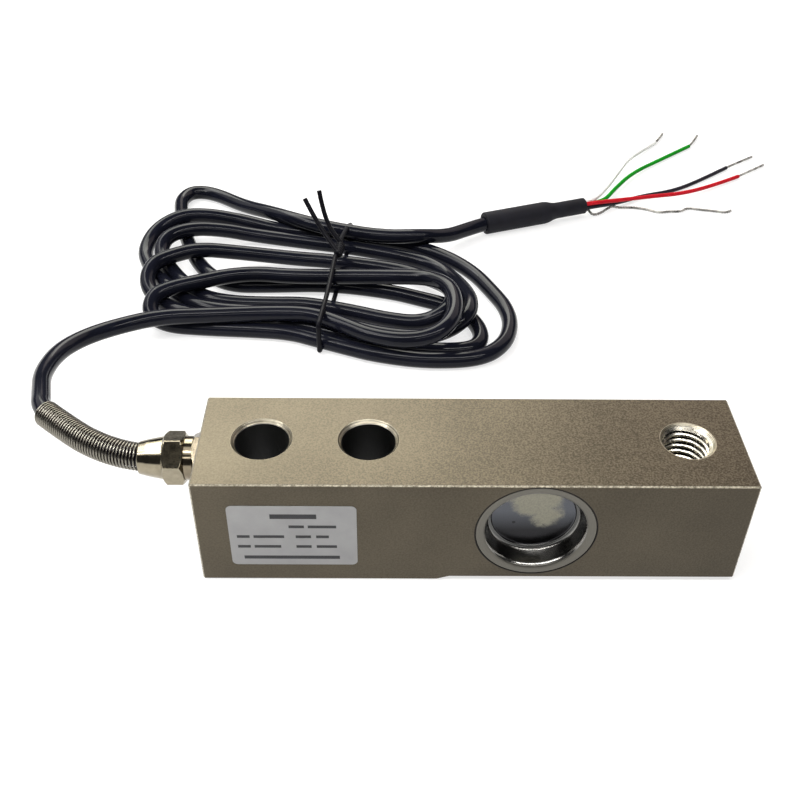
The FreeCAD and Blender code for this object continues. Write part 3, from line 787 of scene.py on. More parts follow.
def meshed(name: str, shape: bmesh.types.BMesh, smooth: bool = True) -> bpy.types.Object:
    """Turns a bmesh into an object with its normals outwards.

    Args:
        name: The object's name.
        shape: The bmesh, which is freed.
        smooth: Whether its faces are shaded smooth.

    Returns:
        The object.
    """
    bmesh.ops.recalc_face_normals(shape, faces=shape.faces)
    for face in shape.faces:
        face.smooth = smooth
    mesh = bpy.data.meshes.new(name)
    shape.to_mesh(mesh)
    shape.free()
    return linked(name, mesh)


@dataclass
class Route:
    """A line through control points, as a smooth spline.

    Attributes:
        points: The control points in millimetres.
        steps: How finely each stretch is divided.
    """

    points: Sequence[Point]
    steps: int

    def curve(self, name: str, radius: float = 0.0, sides: int = 6) -> bpy.types.Curve:
        """Makes the spline's curve data.

        Args:
            name: The curve's name.
            radius: The tube's radius in millimetres, or 0 for a bare line.
            sides: The roundness of the tube.

        Returns:
            The curve.
        """
        curve = bpy.data.curves.new(name, "CURVE")
        curve.dimensions = "3D"
        curve.resolution_u = self.steps
        curve.render_resolution_u = self.steps
        spline = curve.splines.new("NURBS")
        spline.points.add(len(self.points) - 1)
        for control, point in zip(spline.points, self.points):
            control.co = (*mm(point), 1.0)
        spline.order_u = 3
        spline.use_endpoint_u = True
        spline.use_smooth = True
        curve.bevel_depth = radius * MM
        curve.bevel_resolution = sides
        curve.use_fill_caps = radius > 0
        return curve

    def tube(self, name: str, radius: float, sides: int) -> bpy.types.Object:
        """Makes a round tube along the route.

        Args:
            name: The object's name.
            radius: Its radius in millimetres.
            sides: Its roundness.

        Returns:
            The curve object.
        """
        return linked(name, self.curve(name, radius, sides))

    def line(self) -> list[Vector]:
        """Reads the spline's points.

        Returns:
            Points along the spline, in metres.
        """
        bare = linked("bare_line", self.curve("bare_line"))
        mesh = bpy.data.meshes.new_from_object(bare.evaluated_get(bpy.context.evaluated_depsgraph_get()))
        points = [v.co.copy() for v in mesh.vertices]
        curve = bare.data
        bpy.data.objects.remove(bare)
        bpy.data.curves.remove(curve)
        bpy.data.meshes.remove(mesh)
        return points


@dataclass
class Winding:
    """Wires wound round a line.

    Attributes:
        line: The points of the line, in metres.
        turn_r: The radius that the wire's middle keeps from the line, in millimetres.
        pitch: The length of a turn in millimetres.
        wire_r: The wire's radius in millimetres.
        strands: How many wires run side by side.
        per_turn: Points in each turn.
    """

    line: list[Vector]
    turn_r: float
    pitch: float
    wire_r: float
    strands: int = 1
    per_turn: int = 20

    def paths(self, start: float) -> list[list[Vector]]:
        """Winds the wires, as far as the line's end.

        Args:
            start: Where the winding starts on the line, in millimetres.

        Returns:
            Each strand's points.
        """
        places = [0.0]
        for one, two in zip(self.line, self.line[1:]):
            places.append(places[-1] + (two - one).length)
        first, wound = start * MM, places[-1] - start * MM
        steps = math.ceil(wound / (self.pitch * MM) * self.per_turn)
        side = (self.line[1] - self.line[0]).orthogonal().normalized()
        index = 0
        paths: list[list[Vector]] = [[] for _ in range(self.strands)]
        for step in range(steps + 1):
            at = first + wound * step / steps
            while index < len(places) - 2 and places[index + 1] < at:
                index += 1
            one, two = self.line[index], self.line[index + 1]
            ahead = (two - one).normalized()
            middle = one + ahead * (at - places[index])
            side = (side - ahead * side.dot(ahead)).normalized()
            for strand, path in enumerate(paths):
                angle = math.tau * (at / (self.pitch * MM) + strand / self.strands)
                path.append(middle + Quaternion(ahead, angle) @ side * self.turn_r * MM)
        return paths

    def mesh(self, name: str, sides: int = 2, start: float = 0.0) -> bpy.types.Object:
        """Makes the wound wires as one mesh.

        Args:
            name: The object's name.
            sides: The roundness of each wire.
            start: Where the winding starts on the line, in millimetres.

        Returns:
            The mesh object.
        """
        curve = bpy.data.curves.new(name, "CURVE")
        curve.dimensions = "3D"
        curve.bevel_depth = self.wire_r * MM
        curve.bevel_resolution = sides
        curve.use_fill_caps = True
        for path in self.paths(start):
            spline = curve.splines.new("POLY")
            spline.points.add(len(path) - 1)
            for control, point in zip(spline.points, path):
                control.co = (*point, 1.0)
            spline.use_smooth = True
        wound = linked(name + "_line", curve)
        mesh = bpy.data.meshes.new_from_object(wound.evaluated_get(bpy.context.evaluated_depsgraph_get()))
        mesh.name = name
        bpy.data.objects.remove(wound)
        bpy.data.curves.remove(curve)
        return linked(name, mesh)


@dataclass
class Turning:
    """A turned piece: a closed profile spun about an axis, with some corners rounded.

    Attributes:
        profile: Corners as radius, distance along the axis and rounding, in millimetres.
        origin: Where the axis starts, in millimetres.
        axis: The axis' direction.
        steps: Segments round the piece.
        arc: Segments across a rounded corner.
    """

    profile: Sequence[Point]
    origin: Point
    axis: Vector
    steps: int
    arc: int = 6

    def shape(self) -> bmesh.types.BMesh:
        """Spins the profile and rounds its corners.

        Returns:
            The turned shape.
        """
        axis = self.axis.normalized()
        side = axis.orthogonal().normalized()
        origin = mm(self.origin)
        shape = bmesh.new()
        corners = [shape.verts.new(origin + side * r * MM + axis * a * MM) for r, a, _ in self.profile]
        edges = [shape.edges.new((corners[i - 1], corners[i])) for i in range(len(corners))]
        bmesh.ops.spin(
            shape,
            geom=corners + edges,
            cent=origin,
            axis=axis,
            angle=math.tau,
            steps=self.steps,
            use_merge=True,
        )
        bmesh.ops.remove_doubles(shape, verts=shape.verts, dist=MERGED)
        bmesh.ops.recalc_face_normals(shape, faces=shape.faces)
        for r, a, rounding in self.profile:
            if rounding > 0:
                self.round_corner(shape, origin, axis, r * MM, a * MM, rounding * MM)
        return shape

    def round_corner(
        self, shape: bmesh.types.BMesh, origin: Vector, axis: Vector, r: float, a: float, rounding: float
    ) -> None:
        """Rounds the edge ring at one corner of the profile.

        Args:
            shape: The turned shape.
            origin: Where the axis starts.
            axis: The axis' direction.
            r: The corner's radius.
            a: Its distance along the axis.
            rounding: The rounding's radius.
        """

        def on_corner(vert: bmesh.types.BMVert) -> bool:
            """Tells whether a vertex lies on the corner's ring.

            Args:
                vert: The vertex.

            Returns:
                True if it does.
            """
            offset = vert.co - origin
            along = offset.dot(axis)
            return abs(along - a) < ON_RING and abs((offset - axis * along).length - r) < ON_RING

        ring = [e for e in shape.edges if on_corner(e.verts[0]) and on_corner(e.verts[1])]
        bmesh.ops.bevel(
            shape,
            geom=ring,
            offset=rounding,
            segments=self.arc,
            profile=0.5,
            affect="EDGES",
            material=-1,
            clamp_overlap=True,
        )


@dataclass(frozen=True)
class Lamp:
    """A soft lamp.

    Attributes:
        name: The lamp's name.
        place: Where it hangs, in millimetres.
        target: Where it points, in millimetres.
        size: Its width and height in metres.
        power: Its power in watts.
        colour: Its colour.
    """

    name: str
    place: Point
    target: Point
    size: Span
    power: float
    colour: Colour

    def hang(self) -> None:
        """Hangs the lamp."""
        data = bpy.data.lights.new(self.name, "AREA")
        data.shape = "RECTANGLE"
        data.size, data.size_y = self.size
        data.energy = self.power
        data.color = self.colour
        lamp = linked(self.name, data)
        lamp.location = mm(self.place)
        lamp.rotation_mode = "QUATERNION"
        lamp.rotation_quaternion = (mm(self.target) - mm(self.place)).to_track_quat("-Z", "Y")
        log.info("%s hung", self.name)


@dataclass
class Studio:
    """Camera, floor, sky and lamps.

    Attributes:
        eye: The camera's place in millimetres.
        turn: Its turn in degrees.
        lens: Its focal length in millimetres.
        sensor: Its sensor's width in millimetres.
        clip: The nearest and farthest that it sees, in metres.
        floor: The floor's width in metres.
        floor_z: The floor's height in millimetres.
        paper: The floor's darker and lighter tone, as it lights the object.
        paper_cloud: The size of its clouds in millimetres.
        glow: How bright the floor looks of itself.
        shadowed: How much of the light on the floor is seen.
        backdrop: The heights in the sky between which the backdrop fades.
        ceiling: The ceiling's brightness.
        lamps: The lamps.
    """

    eye: Point = (17.93, -181.11, 190.99)
    turn: Point = (50.912, -0.555, -0.228)
    lens: float = 45.58
    sensor: float = 36.0
    clip: Span = (0.01, 20.0)
    floor: float = 6.0
    floor_z: float = -0.1
    paper: tuple[Colour, Colour] = ((0.80, 0.80, 0.80), (0.84, 0.84, 0.84))
    paper_cloud: float = 160.0
    glow: float = 0.66
    shadowed: Colour = (0.4, 0.4, 0.4)
    backdrop: Span = (0.015, 0.06)
    ceiling: float = 0.05
    lamps: tuple[Lamp, ...] = (
        Lamp("softbox", (-465, -135, 700), (-465, -135, 0), (0.77, 0.51), 2.0, (1.0, 0.985, 0.96)),
        Lamp("left_panel", (-500, 300, 690), (-500, 300, 0), (0.24, 0.75), 4.2, (1.0, 0.99, 0.97)),
        Lamp("strip_lamp", (-100, -195, 690), (-100, -195, 0), (1.4, 0.06), 5.4, (1.0, 0.99, 0.97)),
        Lamp("side_window", (-700, 520, 530), (-45, 10, 17), (0.7, 0.5), 1.5, (1.0, 0.98, 0.96)),
        Lamp("back_window", (-150, 640, 560), (0, 0, 30), (0.55, 0.45), 4.8, (0.955, 0.97, 0.88)),
        Lamp("back_screen", (290, 640, 540), (60, 0, 30), (1.2, 0.50), 2.4, (1.0, 0.87, 0.81)),
        Lamp("edge_strip", (120, -480, 500), (40, 0, 30), (0.9, 0.06), 1.0, (1.0, 0.98, 0.95)),
    )

    def camera(self) -> None:
        """Sets the camera where the photograph was taken from."""
        data = bpy.data.cameras.new("view")
        data.lens = self.lens
        data.sensor_width = self.sensor
        data.clip_start, data.clip_end = self.clip
        camera = linked("view", data)
        camera.location = mm(self.eye)
        camera.rotation_euler = Euler([math.radians(a) for a in self.turn])
        bpy.context.scene.camera = camera
        log.info("camera set")

    def ground(self) -> None:
        """Lays a white floor that keeps soft shadows."""
        shape = bmesh.new()
        bmesh.ops.create_grid(shape, x_segments=2, y_segments=2, size=self.floor / 2)
        floor = meshed("floor", shape, smooth=False)
        floor.location.z = self.floor_z * MM
        sheet = Sheet("floor_white")
        cloud = sheet.noise(self.paper_cloud, 2.0)
        dark, light = self.paper
        paper = sheet.blend(sheet.spread(cloud, 0.0, 1.0), rgba(dark), rgba(light))
        sheet.set(Base_Color=paper, Roughness=0.9, Specular_IOR_Level=0.1)
        glow = sheet.add("ShaderNodeEmission", {"Color": rgba((1, 1, 1)), "Strength": self.glow})
        dim = sheet.add("ShaderNodeBsdfDiffuse", {"Color": rgba(self.shadowed)})
        lit = sheet.add("ShaderNodeAddShader")
        sheet.feed(lit.inputs[0], glow.outputs[0])
        sheet.feed(lit.inputs[1], dim.outputs[0])
        path = sheet.add("ShaderNodeLightPath").outputs
        shown = sheet.reckon("MAXIMUM", path["Is Camera Ray"], path["Is Glossy Ray"])
        shown = sheet.reckon("MAXIMUM", shown, path["Is Transmission Ray"])
        pick = sheet.add("ShaderNodeMixShader", {"Fac": shown})
        sheet.feed(pick.inputs[1], sheet.shader.outputs[0])
        sheet.feed(pick.inputs[2], lit.outputs[0])
        sheet.feed(sheet.output.inputs["Surface"], pick.outputs[0])
        floor.data.materials.append(sheet.material)
        log.info("floor laid")

    def sky(self) -> None:
        """Makes a room with a white backdrop all round and a dim ceiling."""
        world = bpy.data.worlds.new("room")
        bpy.context.scene.world = world
        world.use_nodes = True
        tree = world.node_tree
        around = tree.nodes.new("ShaderNodeTexCoord")
        split = tree.nodes.new("ShaderNodeSeparateXYZ")
        rise = tree.nodes.new("ShaderNodeMapRange")
        rise.inputs["From Min"].default_value, rise.inputs["From Max"].default_value = self.backdrop
        rise.inputs["To Min"].default_value, rise.inputs["To Max"].default_value = 1.0, self.ceiling
        tree.links.new(around.outputs["Generated"], split.inputs[0])
        tree.links.new(split.outputs["Z"], rise.inputs["Value"])
        tree.links.new(rise.outputs["Result"], tree.nodes["Background"].inputs["Strength"])
        tree.nodes["Background"].inputs["Color"].default_value = (1, 1, 1, 1)
        log.info("room made")

    def build(self) -> None:
        """Sets up the whole studio."""
        bpy.context.scene.view_settings.view_transform = "Standard"
        self.camera()
        self.ground()
        self.sky()
        for lamp in self.lamps:
            lamp.hang()


@dataclass
class Beam:
    """The beam with its load thread, seal cups, label and inner pieces. Lengths are in millimetres.

    Attributes:
        hole: The load hole's axis, in plan.
        hole_z: The heights of its lower and upper mouth.
        hole_r: Its radius.
        chamfer: The width of the chamfers at its mouths.
        thread_r: The radii of the thread's crests and roots.
        pitch: The thread's pitch.
        thread_phase: How far the thread starts below the mouth, in turns.
        thread_flat: Where the crest starts and ends, in turns.
        thread_steps: Segments in a turn of the thread.
        hidden: How far the thread's ends lie inside the metal.
        pocket: The middle of the rear pocket's mouth.
        mouth_r: The radius of the pockets' mouths.
        flange_r: The radius of the cups' flanges.
        cup_steps: Segments round a cup.
        label_low: The label's lower left corner.
        label_size: Its width and height.
        ink: The thickness of its print.
        bars: The print's rows: each row's place up the label, its bars' height, and where each bar starts
            and how wide it is, as shares of the label's width.
        inner: The solids that stay, with their finishes.
    """

    hole: Span = (88.9, 0.0)
    hole_z: Span = (1.0, 31.8)
    hole_r: float = 6.0
    chamfer: float = 0.6
    thread_r: Span = (5.15, 6.05)
    pitch: float = 1.75
    thread_phase: float = 0.45
    thread_flat: Span = (0.34, 0.66)
    thread_steps: int = 64
    hidden: float = 0.02
    pocket: Point = (52.3, 15.9, 16.9)
    mouth_r: float = 11.85
    flange_r: float = 14.2
    cup_steps: int = 160
    label_low: Point = (-19.95, -16.02, 5.55)
    label_size: Span = (30.1, 19.7)
    ink: float = 0.03
    bars: tuple[tuple[float, float, tuple[Span, ...]], ...] = (
        (0.83, 1.5, ((0.33, 0.36),)),
        (0.66, 0.9, ((0.47, 0.12), (0.62, 0.22))),
        (0.49, 0.9, ((0.06, 0.1), (0.19, 0.24), (0.52, 0.12), (0.68, 0.1))),
        (0.32, 0.9, ((0.06, 0.1), (0.19, 0.21), (0.52, 0.12), (0.68, 0.16))),
        (0.13, 1.1, ((0.1, 0.76),)),
    )
    inner: dict[str, Finish] = field(
        default_factory=lambda: {
            "beam_body": BEAM_NICKEL,
            "front_shear_gauge": GAUGE_FOIL,
            "rear_shear_gauge": GAUGE_FOIL,
            "front_gauge_sealant": SEALANT,
            "rear_gauge_sealant": SEALANT,
            "gauge_leads": BARE_COPPER,
            "bridge_board": BOARD,
            "trim_resistors": RESISTOR,
            "inner_cores": CORE_INSULATION,
            "rating_label": LABEL_FOIL,
        }
    )

    def thread(self) -> None:
        """Cuts the load hole's thread: one helical ridge, cut back by the chamfer at each mouth."""
        inner, outer = (r * MM for r in self.thread_r)
        bottom, top = (z * MM for z in self.hole_z)
        bore, chamfer, pitch = self.hole_r * MM, self.chamfer * MM, self.pitch * MM
        hidden = self.hidden * MM
        near, far = self.thread_flat
        low = bottom + chamfer - (far + self.thread_phase) * pitch
        high = top - chamfer - near * pitch
        steps = int((high - low) / pitch * self.thread_steps)
        centre = mm((*self.hole, 0))
        shape = bmesh.new()
        heights = ((outer, 0.0), (inner, near), (inner, far), (outer, 1.0))
        corners = [shape.verts.new(centre + Vector((r, 0, low + h * pitch))) for r, h in heights]
        profile = shape.faces.new(corners)
        edges = list(profile.edges)
        bmesh.ops.spin(
            shape,
            geom=corners + edges + [profile],
            cent=centre,
            axis=Vector((0, 0, 1)),
            dvec=Vector((0, 0, pitch / self.thread_steps)),
            angle=math.tau * steps / self.thread_steps,
            steps=steps,
        )
        for vert in shape.verts:
            vert.co.z = min(top - hidden, max(bottom + hidden, vert.co.z))
            offset = vert.co - centre
            reach = math.hypot(offset.x, offset.y)
            past = max(vert.co.z - (top - chamfer), bottom + chamfer - vert.co.z)
            wanted = max(reach, bore + past + hidden)
            vert.co.x = centre.x + offset.x * wanted / reach
            vert.co.y = centre.y + offset.y * wanted / reach
        keep(meshed("load_hole_thread", shape, smooth=False), THREAD_NICKEL)

    def cup(self, side: int, name: str) -> None:
        """Presses one seal cup: flat flange, rounded lip, tapering wall, stepped floor.

        Args:
            side: -1 for the front, 1 for the rear.
            name: The CAD node that it stands for.
        """
        x, y, z = self.pocket
        profile = [
            (self.flange_r, 0.02, 0.12),
            (self.mouth_r + 0.75, 0.02, 0.5),
            (self.mouth_r - 0.02, 0.8, 0.5),
            (11.2, 5.15, 0.7),
            (10.25, 5.2, 0.2),
            (10.05, 5.6, 0.2),
            (0.0, 5.6, 0.0),
            (0.0, 6.08, 0.0),
            (11.7, 6.08, 0.4),
            (12.3, 0.55, 0.0),
            (self.flange_r, 0.5, 0.0),
        ]
        turning = Turning(profile, (x, side * y, z), Vector((0, -side, 0)), self.cup_steps)
        keep(meshed(name + "_pressed", turning.shape()), CUP_NICKEL, name)

    def print_bars(self) -> None:
        """Prints rows of plain bars on the label."""
        x0, y, z0 = self.label_low
        width, height = self.label_size
        shape = bmesh.new()
        for rise, tall, bars in self.bars:
            for start, share in bars:
                bar = bmesh.ops.create_cube(shape, size=1.0)["verts"]
                size = Vector((share * width, self.ink, tall)) * MM
                middle = mm((x0 + (start + share / 2) * width, y, z0 + rise * height))
                bmesh.ops.scale(shape, vec=size, verts=bar)
                bmesh.ops.translate(shape, vec=middle, verts=bar)
        keep(meshed("label_print", shape, smooth=False), LABEL_INK)

    def build(self) -> None:
        """Dresses the beam and makes its new pieces."""
        for node, finish in self.inner.items():
            repaint(node, finish)
        self.thread()
        self.cup(-1, "front_seal_cup")
        self.cup(1, "rear_seal_cup")
        self.print_bars()


@dataclass
class Cable:
    """The cable in one piece: out of the gland, five tied turns, and into the sleeve.

    Lengths are in millimetres unless another unit is given.

    Attributes:
        radius: The cable's radius.
        steps: How finely its spline is divided.
        sides: Its roundness.
        length: Its length in metres; not used.
        leaves: Where it leaves the gland; not used.
        lead: The route from the gland to the hank.
        first_turn: The top turn of the hank.
        second_turn: The widest turn.
        third_turn: The turn inside the second.
        fourth_turn: The turn inside the third.
        fifth_turn: The lowest turn, with the loop at the upper left.
        tail: The route from the hank into the sleeve.
        spring_points: How many points of the lead the spring follows.
        spring_end: Where the spring ends.
        spring_from: Where it starts on the lead.
        spring_turn_r: The radius of its turns.
        spring_pitch: The length of a turn.
        spring_wire_r: Its wire's radius.
        spring_steps: How finely its line is divided.
        spring_per_turn: Points in each of its turns.
        spring_sides: The roundness of its wire.
    """

    radius: float = 2.6
    steps: int = 14
    sides: int = 8
    length: float = 1.637
    leaves: Point = (-45.4, 9.2, 17.2)
    lead: tuple[Point, ...] = (
        (-33.0, 9.2, 17.2), (-40.0, 9.2, 17.2), (-45.0, 9.2, 17.2), (-51.0, 10.6, 17.3),
        (-57.0, 13.2, 17.4), (-64.0, 17.7, 17.4), (-75.8, 28.3, 16.9), (-78.2, 36.6, 15.9),
        (-81.4, 47.8, 14.1), (-80.6, 61.2, 12.0), (-75.5, 71.0, 10.3), (-67.3, 78.5, 9.1),
    )
    first_turn: tuple[Point, ...] = (
        (-55.5, 85.2, 8.2), (-39.5, 86.8, 7.8), (-21.5, 88.2, 7.8), (-7.5, 88.0, 7.8), (2.1, 82.4, 7.8),
        (11.4, 75.8, 8.0), (22.0, 71.6, 9.2), (30.5, 70.8, 11.2), (36.4, 76.0, 12.8),
        (38.6, 86.0, 13.2), (36.8, 97.0, 13.3), (30.0, 105.4, 10.8), (18.5, 108.4, 9.0),
        (6.5, 109.7, 8.2), (-5.0, 109.8, 8.0), (-17.0, 110.0, 8.0), (-27.0, 111.4, 8.0),
        (-37.0, 110.0, 8.0), (-46.0, 106.2, 8.0), (-55.0, 102.4, 8.0), (-60.2, 98.6, 7.4),
        (-60.8, 92.4, 4.6), (-55.0, 88.6, 2.6),
    )
    second_turn: tuple[Point, ...] = (
        (-42.0, 87.1, 2.6), (-27.5, 86.3, 2.6), (-14.5, 85.1, 2.6), (-5.0, 80.9, 2.6), (3.7, 77.2, 2.6),
        (13.6, 73.2, 2.6), (29.4, 70.0, 2.6), (46.0, 71.3, 2.6), (54.0, 79.0, 2.6), (57.0, 89.8, 2.6),
        (56.1, 99.6, 2.6), (53.1, 107.5, 2.6), (46.2, 122.7, 2.6), (34.8, 134.3, 2.6),
        (21.0, 141.9, 2.6), (-1.0, 146.0, 2.6), (-23.3, 150.2, 2.6), (-38.0, 153.8, 4.6),
        (-50.8, 152.8, 7.6), (-60.5, 150.8, 7.8), (-68.2, 144.6, 5.4), (-70.6, 135.0, 2.8),
    )
    third_turn: tuple[Point, ...] = (
        (-67.5, 125.6, 2.6), (-61.0, 115.6, 2.6), (-53.0, 104.8, 2.6), (-42.0, 97.6, 2.6),
        (-28.0, 96.2, 2.6), (-14.5, 95.0, 2.6), (-4.0, 91.6, 2.6), (5.5, 87.8, 2.6), (15.0, 84.0, 2.6),
        (27.0, 81.6, 2.8), (36.5, 82.6, 5.2), (42.6, 87.2, 7.8), (44.0, 95.0, 8.0), (42.8, 104.0, 6.2),
        (40.0, 114.0, 4.0), (35.0, 124.3, 2.6), (26.3, 130.5, 2.6), (3.3, 138.2, 2.6),
        (-11.4, 141.4, 2.6), (-32.3, 145.4, 3.2), (-43.1, 144.4, 6.0), (-54.2, 141.8, 8.0),
        (-62.4, 136.8, 7.6), (-64.0, 130.0, 4.6),
    )
    fourth_turn: tuple[Point, ...] = (
        (-58.2, 121.2, 2.6), (-52.2, 112.6, 2.6), (-45.0, 104.8, 2.6), (-35.0, 101.6, 2.6),
        (-22.0, 101.0, 2.6), (-12.0, 101.2, 2.6), (-3.0, 99.2, 2.6), (6.5, 96.2, 2.6),
        (16.0, 92.6, 2.6), (27.0, 89.4, 3.2), (34.5, 89.8, 6.6), (38.0, 94.5, 8.0), (38.0, 101.5, 7.9),
        (35.5, 108.5, 6.0), (29.5, 115.8, 4.2), (20.5, 122.9, 2.8), (-3.8, 128.8, 2.6),
        (-14.9, 130.0, 2.6), (-39.4, 129.8, 5.6), (-49.5, 126.8, 8.2), (-57.4, 122.8, 8.2),
        (-63.6, 118.4, 7.8), (-65.4, 111.6, 5.2), (-61.8, 104.6, 2.8),
    )
    fifth_turn: tuple[Point, ...] = (
        (-53.5, 97.2, 2.6), (-42.0, 92.4, 2.6), (-27.5, 91.2, 2.6), (-14.5, 90.0, 2.6),
        (-4.5, 86.2, 2.6), (4.6, 82.4, 2.6), (14.5, 78.6, 2.6), (28.0, 75.6, 2.6), (39.0, 75.4, 2.6),
        (45.0, 77.4, 2.6), (47.2, 83.8, 2.6), (44.8, 92.6, 2.6), (38.8, 100.0, 2.6), (28.8, 104.4, 2.6),
        (17.2, 109.4, 2.6), (-3.7, 113.6, 2.6), (-22.4, 112.6, 2.6), (-38.6, 112.4, 2.6),
        (-49.1, 124.0, 2.6), (-56.1, 141.3, 2.6), (-60.6, 156.0, 2.6), (-62.4, 165.0, 2.6),
        (-63.6, 173.2, 2.6), (-60.2, 180.2, 2.6), (-51.5, 178.8, 2.6),
    )
    tail: tuple[Point, ...] = (
        (-38.5, 167.4, 3.2), (-27.0, 156.4, 6.6), (-16.0, 147.6, 8.2), (-4.0, 142.2, 8.0),
        (14.5, 136.6, 8.0), (28.5, 137.0, 8.2), (38.0, 142.2, 5.2), (46.0, 149.2, 4.15),
        (54.0, 154.15, 4.15), (75.0, 161.9, 4.15),
    )
    spring_points: int = 6
    spring_end: Point = (-74.0, 26.6, 17.1)
    spring_from: float = 10.4
    spring_turn_r: float = 3.36
    spring_pitch: float = 0.86
    spring_wire_r: float = 0.30
    spring_steps: int = 40
    spring_per_turn: int = 32
    spring_sides: int = 3

    def route(self) -> tuple[Point, ...]:
        """Returns the whole route, from the gland to the sleeve."""
        turns = self.first_turn + self.second_turn + self.third_turn + self.fourth_turn + self.fifth_turn
        return self.lead + turns + self.tail

    def spring(self) -> bpy.types.Object:
        """Winds the strain relief spring round the lead, straight to its end where the lead bends away.

        Returns:
            The spring.
        """
        line = Route([*self.lead[: self.spring_points], self.spring_end], self.spring_steps).line()
        winding = Winding(
            line,
            self.spring_turn_r,
            self.spring_pitch,
            self.spring_wire_r,
            per_turn=self.spring_per_turn,
        )
        spring = winding.mesh("strain_relief_coils", self.spring_sides, self.spring_from)
        return keep(spring, SPRING_STEEL, "strain_relief_spring")

    def build(self, *pieces: bpy.types.Object) -> None:
        """Args:
            pieces: The pieces on it, besides its spring; not used.
        """
        cable = Route(self.route(), self.steps).tube("cable", self.radius, self.sides)
        keep(cable, CABLE_JACKET, "cable_lead", "cable_hank", "cable_tail")
        self.spring()


@dataclass
class Tie:
    """The coated wire twisted round the hank. Lengths are in millimetres.

    Attributes:
        near: Where it goes under the hank at the near side.
        far: Where it comes up at the far side.
        top: The height at which it lies on the hank.
        wire_r: The wire's radius.
        steps: How finely its spline is divided.
        sides: Its roundness.
        knot_share: Where the knot is, from far to near.
        knot_length: The knot's length.
        knot_turns: How often its ends go round each other.
        knot_points: Points in each of those turns.
        knot_rise: How far the knot's middle lies above the wire's.
        knot_slack: The space between the ends in the knot.
        ends: The free ends' points, from the knot outwards.
    """

    near: Point = (-4.6, 76.95, 0.85)
    far: Point = (3.0, 148.55, 0.85)
    top: float = 11.2
    wire_r: float = 0.8
    steps: int = 8
    sides: int = 4
    knot_share: float = 0.39
    knot_length: float = 6.5
    knot_turns: float = 2.5
    knot_points: int = 8
    knot_rise: float = 0.7
    knot_slack: float = 0.05
    ends: tuple[tuple[Point, ...], tuple[Point, ...]] = (
        ((-7.3, 127.0, 18.0), (-11.8, 130.9, 26.0)),
        ((-5.1, 129.1, 18.0), (-6.9, 132.9, 28.0)),
    )

    def twist(self, phase: float) -> list[Point]:
        """Winds one end of the wire in the knot.

        Args:
            phase: The angle at which it starts.

        Returns:
            Points from the knot's near end to its far end.
        """
        near, far = Vector(self.near), Vector(self.far)
        along = (far - near).normalized()
        across = along.cross(Vector((0, 0, 1)))
        middle = far + (near - far) * self.knot_share
        middle.z = self.top + self.knot_rise
        points = []
        steps = int(self.knot_turns * self.knot_points)
        for step in range(steps + 1):
            angle = phase + math.tau * self.knot_turns * step / steps
            place = middle + along * self.knot_length * (step / steps - 0.5)
            turn = across * math.cos(angle) + Vector((0, 0, math.sin(angle)))
            points.append(tuple(place + turn * (self.wire_r + self.knot_slack)))
        return points

    def build(self) -> bpy.types.Object:
        """Bends the wire: free end, knot, round the hank, knot, free end.

        Returns:
            The tie.
        """
        near, far = Vector(self.near), Vector(self.far)
        along = (far - near).normalized()
        rise = Vector((0, 0, self.top - self.near[2]))
        one, two = self.twist(0.0), self.twist(math.pi)
        over_far = [far + rise * 0.9 - along * 9.0, far + rise * 0.62 - along * 2.0, far + rise * 0.5]
        under = [far + rise * 0.2, far, far - along * 3, near + along * 3, near, near + rise * 0.2]
        over_near = [near + rise * 0.7, near + rise, near + rise + along * 2.5, near + rise + along * 20]
        loop = [tuple(p) for p in over_far + under + over_near]
        points = [*reversed(self.ends[0]), *one, *loop, *two, *self.ends[1]]
        tie = Route(points, self.steps).tube("wire_tie_bent", self.wire_r, self.sides)
        return keep(tie, TIE_COATING, "wire_tie")


@dataclass(frozen=True)
class Core:
    """One insulated wire.

    Attributes:
        finish: Its insulation.
        angle: Its place on the ring in the sleeve, in degrees.
        free: Its route outside the sleeve, in millimetres.
        tip: Where its tinned tip ends.
        length: Its length in metres; not used.
    """

    finish: Finish
    angle: float
    free: tuple[Point, ...]
    tip: Point
    length: float


